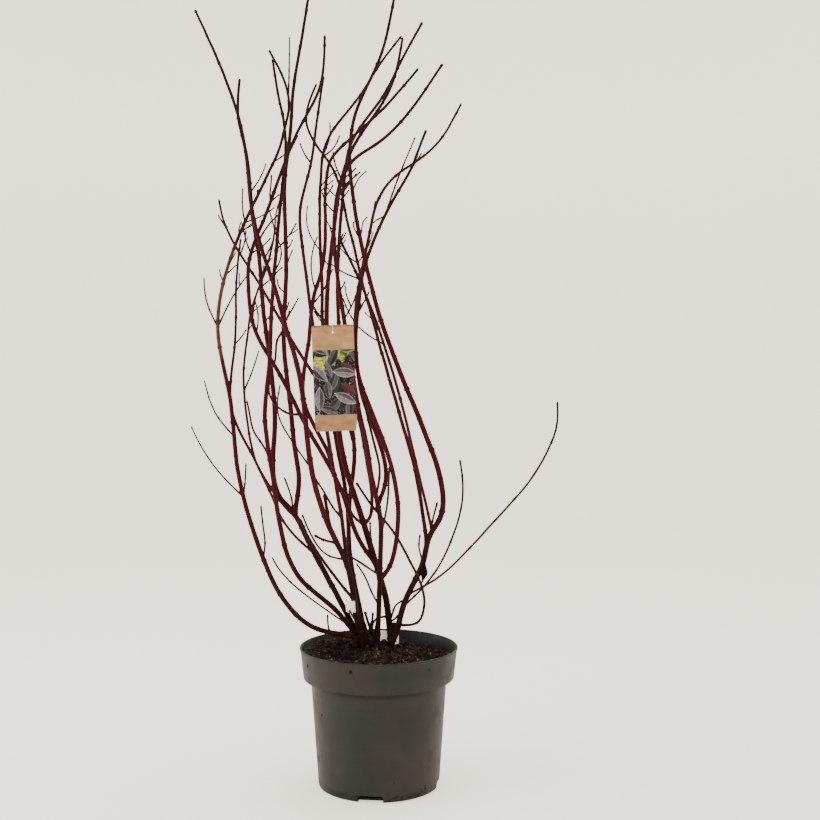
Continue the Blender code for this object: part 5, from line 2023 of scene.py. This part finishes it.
    @staticmethod
    def _turned(points: Array, *turns: tuple[int, int, Array]) -> Array:
        """Each set of points turned about its own middle from one axis to another, the last turn first.

        Args:
            points: The sets, as (n, points, 3).
            *turns: Two axes and one angle for each set.

        Returns:
            The turned points.
        """
        total = np.eye(3)
        for first, second, angle in turns:
            turn = np.tile(np.eye(3), (len(angle), 1, 1))
            turn[:, first, first] = turn[:, second, second] = np.cos(angle)
            turn[:, first, second], turn[:, second, first] = -np.sin(angle), np.sin(angle)
            total = total @ turn
        return np.einsum("nij,npj->npi", total, points)

    def _fibres(self, edge: float) -> None:
        """Thin curved fibres: three-sided tubes along short arcs.

        Args:
            edge: The compost's radius.
        """
        rng = np.random.default_rng(Seed.FIBRE)
        finishes = [
            TwigFinish("fibre_pale", (0.12, 0.08, 0.05), 0.8).material(),
            TwigFinish("fibre_brown", (0.03, 0.016, 0.01), 0.8).material(),
        ]
        shell = Shell()
        rings, sides = 7, 3
        share = np.linspace(-0.5, 0.5, rings)
        for spot in self._spots(rng, self.fibres, edge - 12 * MM):
            length, heading, bend = rng.uniform(8, 30) * MM, rng.uniform(0, 2 * math.pi), rng.normal(0, 1.1)
            angle, step = heading + bend * share, length / (rings - 1)
            x, y = spot[0] + np.cumsum(np.cos(angle)) * step, spot[1] + np.cumsum(np.sin(angle)) * step
            if np.hypot(x, y).max() >= edge - 4 * MM:
                continue
            height = self.surface(x, y)
            line = np.column_stack([x, y, height * 0.35 + height.max() * 0.65 + 0.4 * MM])
            up = np.broadcast_to((0.0, 0.0, 1.0), line.shape)
            thick = np.full((rings, sides), rng.uniform(0.25, 0.6) * MM)
            rounds = square_rings(line, thick, unit(np.cross(directions(line), up)), up)
            shell.add(*closed(rounds, line[0], line[-1]), int(rng.random() < 0.6))
        shell.piece("root_fibres", Slot.COMPOST, finishes)


# Tag, tie and slips


@dataclass
class Tag:
    """The kraft tag and the thin loop that ties it to a cane."""

    clump: Clump
    width: float = 72.0 * MM
    length: float = 181.0 * MM
    thick: float = 0.8 * MM
    corner: float = 3.0 * MM
    hole_radius: float = 1.7 * MM
    hole_drop: float = 12.5 * MM
    rise: float = 2.2 * MM
    turn: float = math.radians(-2.0)
    ahead: float = 12.0 * MM
    across: float = -21.0 * MM
    height: float = 849.0 * MM
    stem: str = "l"
    tie_girth: float = 0.5 * MM
    bark_thickness: float = 0.5 * MM
    tie_slack: float = 0.4 * MM
    tie_bulge: float = 1.6
    tie_steps: int = 6
    tie_ease: float = 0.35
    panel: Pair = (-153.0 * MM, -42.0 * MM)

    def build(self) -> None:
        """Builds the card and the tie."""
        line = self.clump.coarse[self.stem]
        heights = line.points[:, 2]
        stem = at_run(line.points, heights, np.array([self.height]))[0]
        girth = float(np.interp(self.height, heights, line.radii)) + self.bark_thickness
        hang = stem + (self.across, -self.ahead, self.rise)
        finish = KraftFinish("kraft_card", tuple(hang), self.turn, *self.panel).material()
        turning = np.array(Matrix.Rotation(self.turn, 3, "Y"))
        piece = self._card(hang, turning).piece("kraft_tag", Slot.CARD, [finish])
        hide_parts("tag")
        self._tie(stem, girth, hang - turning[:, 2] * self.hole_drop)

    def _card(self, hang: Array, turning: Array) -> Shell:
        """The card: rings from the hole's edge out to the card's rounded outline, both faces.

        A point of ring t lies between the hole's circle and the outline by share t, and the
        outline's point in a direction is where a ray from the hole meets the rounded edge.

        Args:
            hang: The middle of the card's top edge.
            turning: The card's rotation.

        Returns:
            The card's mesh.
        """
        sides, rings = 192, 40
        angle = np.arange(sides) * 2 * math.pi / sides
        ray = np.column_stack([np.cos(angle), np.sin(angle)])
        share = np.linspace(0, 1, rings)
        distance = self.hole_radius + (self._reach(ray) - self.hole_radius) * share[:, None]
        x, z = ((ray * distance[..., None]).reshape(-1, 2) + (0, -self.hole_drop)).T
        warp = 0.25 * MM * np.sin(z * 21.0) * np.sin(x * 33.0 + 0.6)
        near = np.column_stack([x, warp - self.thick / 2, z])
        points = np.vstack([near, near + (0, self.thick, 0)]) @ turning.T + hang
        front, eye, count = grid_faces(rings, sides), np.arange(sides), sides * rings
        rim = band(eye + count - sides, count)
        shell = Shell()
        shell.add(points, np.vstack([front[:, ::-1], front + count, rim[:, ::-1], band(eye, count)]))
        return shell

    def _reach(self, ray: Array) -> Array:
        """How far each ray from the hole goes to the outline with its rounded corners.

        Args:
            ray: Unit vectors across and up the card.

        Returns:
            One distance for each.
        """
        half = self.width / 2
        up, down = self.hole_drop, self.length - self.hole_drop
        with np.errstate(divide="ignore"):
            side = half / np.abs(ray[:, 0])
            end = np.where(ray[:, 1] > 0, up, down) / np.abs(ray[:, 1])
        reach = np.minimum(side, end)
        for x, z in ((half, up), (half, -down)):
            centre = np.array([x - self.corner, z - math.copysign(self.corner, z)])
            for sign in (-1, 1):
                middle = centre * (sign, 1)
                along = ray @ middle
                inside = self.corner**2 - (middle @ middle - along**2)
                hit = along + np.sqrt(np.maximum(inside, 0))
                place = ray * reach[:, None]
                beyond = (np.abs(place[:, 0]) > half - self.corner) & (np.abs(place[:, 1] - z) < self.corner)
                beyond &= (np.sign(place[:, 0]) == sign) & (inside > 0)
                reach = np.where(beyond, np.minimum(reach, hit), reach)
        return reach

    def _tie(self, stem: Array, girth: float, hole: Array) -> None:
        """The thin loop through the tag's hole, over its top edge and once round the stem.

        Args:
            stem: The middle of the stem at the loop.
            girth: The stem's radius there.
            hole: The middle of the tag's hole.
        """
        thick, slack, (x, y, z) = self.tie_girth / 2, self.tie_slack, hole
        wide, ahead = girth + thick + slack, self.thick / 2 + thick + slack
        low, top = z + self.hole_radius - thick - slack, z + self.hole_drop + thick + slack
        route = [
            (x, y + ahead, low),
            (x, y - ahead, low),
            (x + thick, y - self.tie_bulge * ahead, (low + top) / 2),
            (x + 2 * thick, y - ahead, top),
            (x + 3 * thick, y + ahead, top),
        ]
        steps = self.tie_steps
        turn = np.arange(-steps // 3, steps + steps // 2) * math.pi / steps
        loop = np.vstack([route, stem + wide * np.column_stack([np.cos(turn), np.sin(turn), 0 * turn])])
        count = len(loop)
        at = np.linspace(0, count, count * self.tie_steps, endpoint=False)
        base = np.floor(at).astype(int)
        t = (at - base)[:, None]
        a, b, c, d = (loop[(base + k) % count] for k in (-1, 0, 1, 2))
        smooth = b + 0.5 * ((c - a) * t + (2 * a - 5 * b + 4 * c - d) * t**2 + (3 * b - a - 3 * c + d) * t**3)
        line = self.tie_ease * smooth + (1 - self.tie_ease) * ((1 - t) * b + t * c)
        along = unit(np.roll(line, -1, axis=0) - np.roll(line, 1, axis=0))
        across = unit(np.cross(along, (0.3, 0.2, 0.93)))
        sides = 8
        rings = square_rings(line, np.full((len(line), sides), thick), across, np.cross(along, across))
        shell = Shell()
        shell.add(rings.reshape(-1, 3), grid_faces(len(line) + 1, sides) % rings[..., 0].size)
        piece = shell.piece("tag_loop", Slot.FILM, [FilmFinish("tie_film").material()])
        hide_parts("tag_tie")


@dataclass
class Slips:
    """A blank white slip curled round one cane, another stuck upright, and one dried leaf."""

    clump: Clump
    curl_stem: str = "g"
    curl_low: float = 320.0 * MM
    curl_high: float = 342.0 * MM
    curl_radius: float = 10.0 * MM
    curl_aside: float = -6.5 * MM
    curl_turn: Pair = (math.radians(130.0), math.radians(318.0))
    thick: float = 0.4 * MM
    upright: Pair = (-3.0 * MM, 36.5 * MM)
    upright_low: float = 232.0 * MM
    upright_high: float = 270.0 * MM
    upright_back: float = 66.0 * MM
    leaf_stem: str = "o"
    leaf_height: float = 424.0 * MM
    leaf_length: float = 58.0 * MM
    leaf_width: float = 17.0 * MM

    def build(self) -> None:
        """Builds the three."""
        white = FilmFinish("white_film").material()
        brown = TwigFinish("dried_leaf", (0.006, 0.004, 0.0035), 0.6).material()
        self._piece("curled_slip", Slot.FILM, white, *self._curl())
        self._piece("upright_slip", Slot.FILM, white, *self._stuck())
        self._piece("dried_leaf", Slot.TWIG, brown, *self._leaf())

    def _piece(self, name: str, slot: Slot, finish: Material, middle: Array, out: Array) -> None:
        """One thin sheet as a piece.

        Args:
            name: The piece's name.
            slot: Its slot.
            finish: Its material.
            middle: The sheet's points.
            out: Unit vectors out of the sheet.
        """
        shell = Shell()
        sheet(shell, middle, np.broadcast_to(out, middle.shape), self.thick)
        shell.piece(name, slot, [finish])

    def _curl(self) -> tuple[Array, Array]:
        """A strip on a circle round the cane, its radius waved along and round it.

        Returns:
            The sheet's points and the unit vectors out of it.
        """
        line = self.clump.fine[self.curl_stem].points
        height, turn = np.linspace(self.curl_low, self.curl_high, 18), np.linspace(*self.curl_turn, 40)
        grid = np.stack(np.meshgrid(height / (9 * MM), turn * 1.4, indexing="ij"), axis=-1).reshape(-1, 2)
        wave = smooth_noise(grid, Seed.CURL).reshape(18, 40) * 0.9 * MM
        radius = self.curl_radius + wave + 0.6 * MM * ((turn - turn.mean()) / 2) ** 2
        out = np.column_stack([np.cos(turn), np.sin(turn), 0 * turn])
        stem = at_run(line, line[:, 2], height) + (self.curl_aside, 0.0, 0.0)
        return stem[:, None] + out * radius[..., None], out

    def _stuck(self) -> tuple[Array, Array]:
        """A strip that stands in the compost, bowed across and leaning back a little.

        Returns:
            The sheet's points and the unit vector out of it.
        """
        low, high = self.upright_low, self.upright_high
        x = np.linspace(*self.upright, 30)
        wide, tall = np.meshgrid(x, np.linspace(low, high, 24))
        y = self.upright_back + 22.0 * (wide - sum(self.upright) / 2) ** 2 + 0.12 * (tall - low)
        top = smooth_noise(x[:, None] / (12 * MM), Seed.SLIP) * 2.0 * MM
        tall = low + (tall - low) * (1 + top / (high - low))
        return np.stack([wide, y, tall], axis=-1), np.array((0.0, -1.0, 0.0))

    def _leaf(self) -> tuple[Array, Array]:
        """A hanging leaf rolled about its rib: its half width follows a sine along its length.

        Returns:
            The sheet's points and the unit vectors out of it.
        """
        line = self.clump.fine[self.leaf_stem].points
        root = at_run(line, line[:, 2], np.array([self.leaf_height]))[0]
        t, s = np.meshgrid(np.linspace(0, 1, 26), np.linspace(-1, 1, 13), indexing="ij")
        wide = 0.25 + 0.75 * np.exp(-(((t - 0.55) / 0.16) ** 2))
        half = self.leaf_width / 2 * wide * np.sin(math.pi * np.clip(t, 0.02, 0.98)) ** 0.5
        roll = s * 2.2 + 0.9 * np.sin(5 * t)
        grid = np.column_stack([t.ravel() * 7, s.ravel() * 2.5])
        seeds = Seed.CRUMPLE, Seed.SKEW
        crumple, skew = (smooth_noise(grid, seed).reshape(t.shape) * 2.0 * MM for seed in seeds)
        x = root[0] - MM + 3 * MM * np.sin(2.4 * t) - 9 * MM * t**2 + half * np.sin(roll) * 0.9 + skew * wide
        y = root[1] - 6 * MM - half * np.cos(roll) * 0.7 + crumple
        z = root[2] - self.leaf_length * t + 3 * MM * np.sin(7 * t) * (1 - t)
        out = unit(np.stack([np.sin(roll) * 0.3, -np.ones_like(roll), 0 * roll], axis=-1))
        return np.stack([x, y, z], axis=-1), out


# Floor, backdrop, light and camera


@dataclass(frozen=True)
class Softbox:
    """A square light: where it stands, what it faces, its side in metres and its power."""

    name: str
    place: Point
    aim: Point
    side: float
    power: float


@dataclass
class Studio:
    """A pale floor that sweeps up into a round wall, soft boxes and the front viewpoint."""

    lens: float = 57.16
    sensor: float = 36.0
    pitch: float = math.radians(2.85)
    flat: float = 4.4
    curve: float = 2.2
    height: float = 5.0
    sides: int = 96
    paint: Colour = (0.86, 0.815, 0.745)
    glow: float = 1.0
    glow_colour: Colour = (1.0, 0.91, 0.78)
    sky: tuple[float, ...] = (1.0, 0.985, 0.96, 1.0)
    sky_power: float = 0.36
    boxes: tuple[Softbox, ...] = (
        Softbox("key", (-2.5, -1.1, 3.0), (0.0, 0.0, 0.6), 1.6, 55.0),
        Softbox("top", (0.5, 0.6, 3.6), (0.0, 0.1, 0.3), 2.6, 90.0),
        Softbox("left_rim", (-2.7, -0.1, 0.9), (0.0, 0.0, 0.4), 1.2, 20.0),
        Softbox("right_rim", (2.7, 0.1, 1.0), (0.0, 0.0, 0.4), 1.2, 2.5),
    )

    def build(self) -> None:
        """Sets the stage."""
        self._sweep()
        for box in self.boxes:
            self._light(box)
        world = bpy.data.worlds.new("surround")
        world.use_nodes = True
        sky = world.node_tree.nodes["Background"]
        sky.inputs[0].default_value, sky.inputs[1].default_value = self.sky, self.sky_power
        bpy.context.scene.world = world
        camera = bpy.data.cameras.new("camera")
        camera.lens, camera.sensor_width, camera.clip_end = self.lens, self.sensor, 50.0
        holder = linked("camera", camera)
        holder.location = VIEWPOINT
        holder.rotation_euler = (math.pi / 2 - self.pitch, 0.0, 0.0)
        bpy.context.scene.camera = holder

    def _sweep(self) -> None:
        """A turned sheet: flat to a radius, then a quarter circle, then straight up."""
        arc = np.linspace(0, math.pi / 2, 24)
        bend, rise = self.curve * np.sin(arc), self.curve - self.curve * np.cos(arc)
        radius = np.concatenate([[0.4, 1.2, 2.6], self.flat + bend, [self.flat + self.curve]])
        rise = np.concatenate([[0, 0, 0], rise, [self.height]])
        points = np.vstack([around(radius, rise, self.sides).reshape(-1, 3), (0, 0, 0)])
        finish = Finish("studio_paint")
        base = finish.tint(self.paint, finish.shade(finish.noise(finish.place(), 1.3), 0.98, 1.0))
        finish.dress(Base_Color=base, Roughness=0.8)
        finish.dress(Emission_Color=self.glow_colour, Emission_Strength=self.glow)
        finish.material.cycles.emission_sampling = "NONE"
        shell = Shell()
        faces = grid_faces(len(radius), self.sides)[:, ::-1]
        shell.add(points, faces, fan(len(points) - 1, np.arange(self.sides), True))
        shell.piece("studio_sweep", None, [finish.material])

    @staticmethod
    def _light(box: Softbox) -> None:
        """One soft box that faces its aim.

        Args:
            box: The soft box.
        """
        light = bpy.data.lights.new(box.name, "AREA")
        light.energy, light.size = box.power, box.side
        holder = linked(box.name, light)
        holder.location = box.place
        holder.rotation_euler = (Vector(box.aim) - Vector(box.place)).to_track_quat("-Z", "Y").to_euler()


def main() -> None:
    """Builds every sub-assembly in order."""
    logging.basicConfig(level=logging.INFO, format="%(name)s %(message)s")
    Studio().build()
    pot = Pot()
    pot.build()
    Compost(pot).build()
    clump = Clump()
    CrownWood(clump).build()
    Crown(clump, CaneBark(), Buds()).build()
    Tag(clump).build()
    Slips(clump).build()


if __name__ == "__main__":
    main()
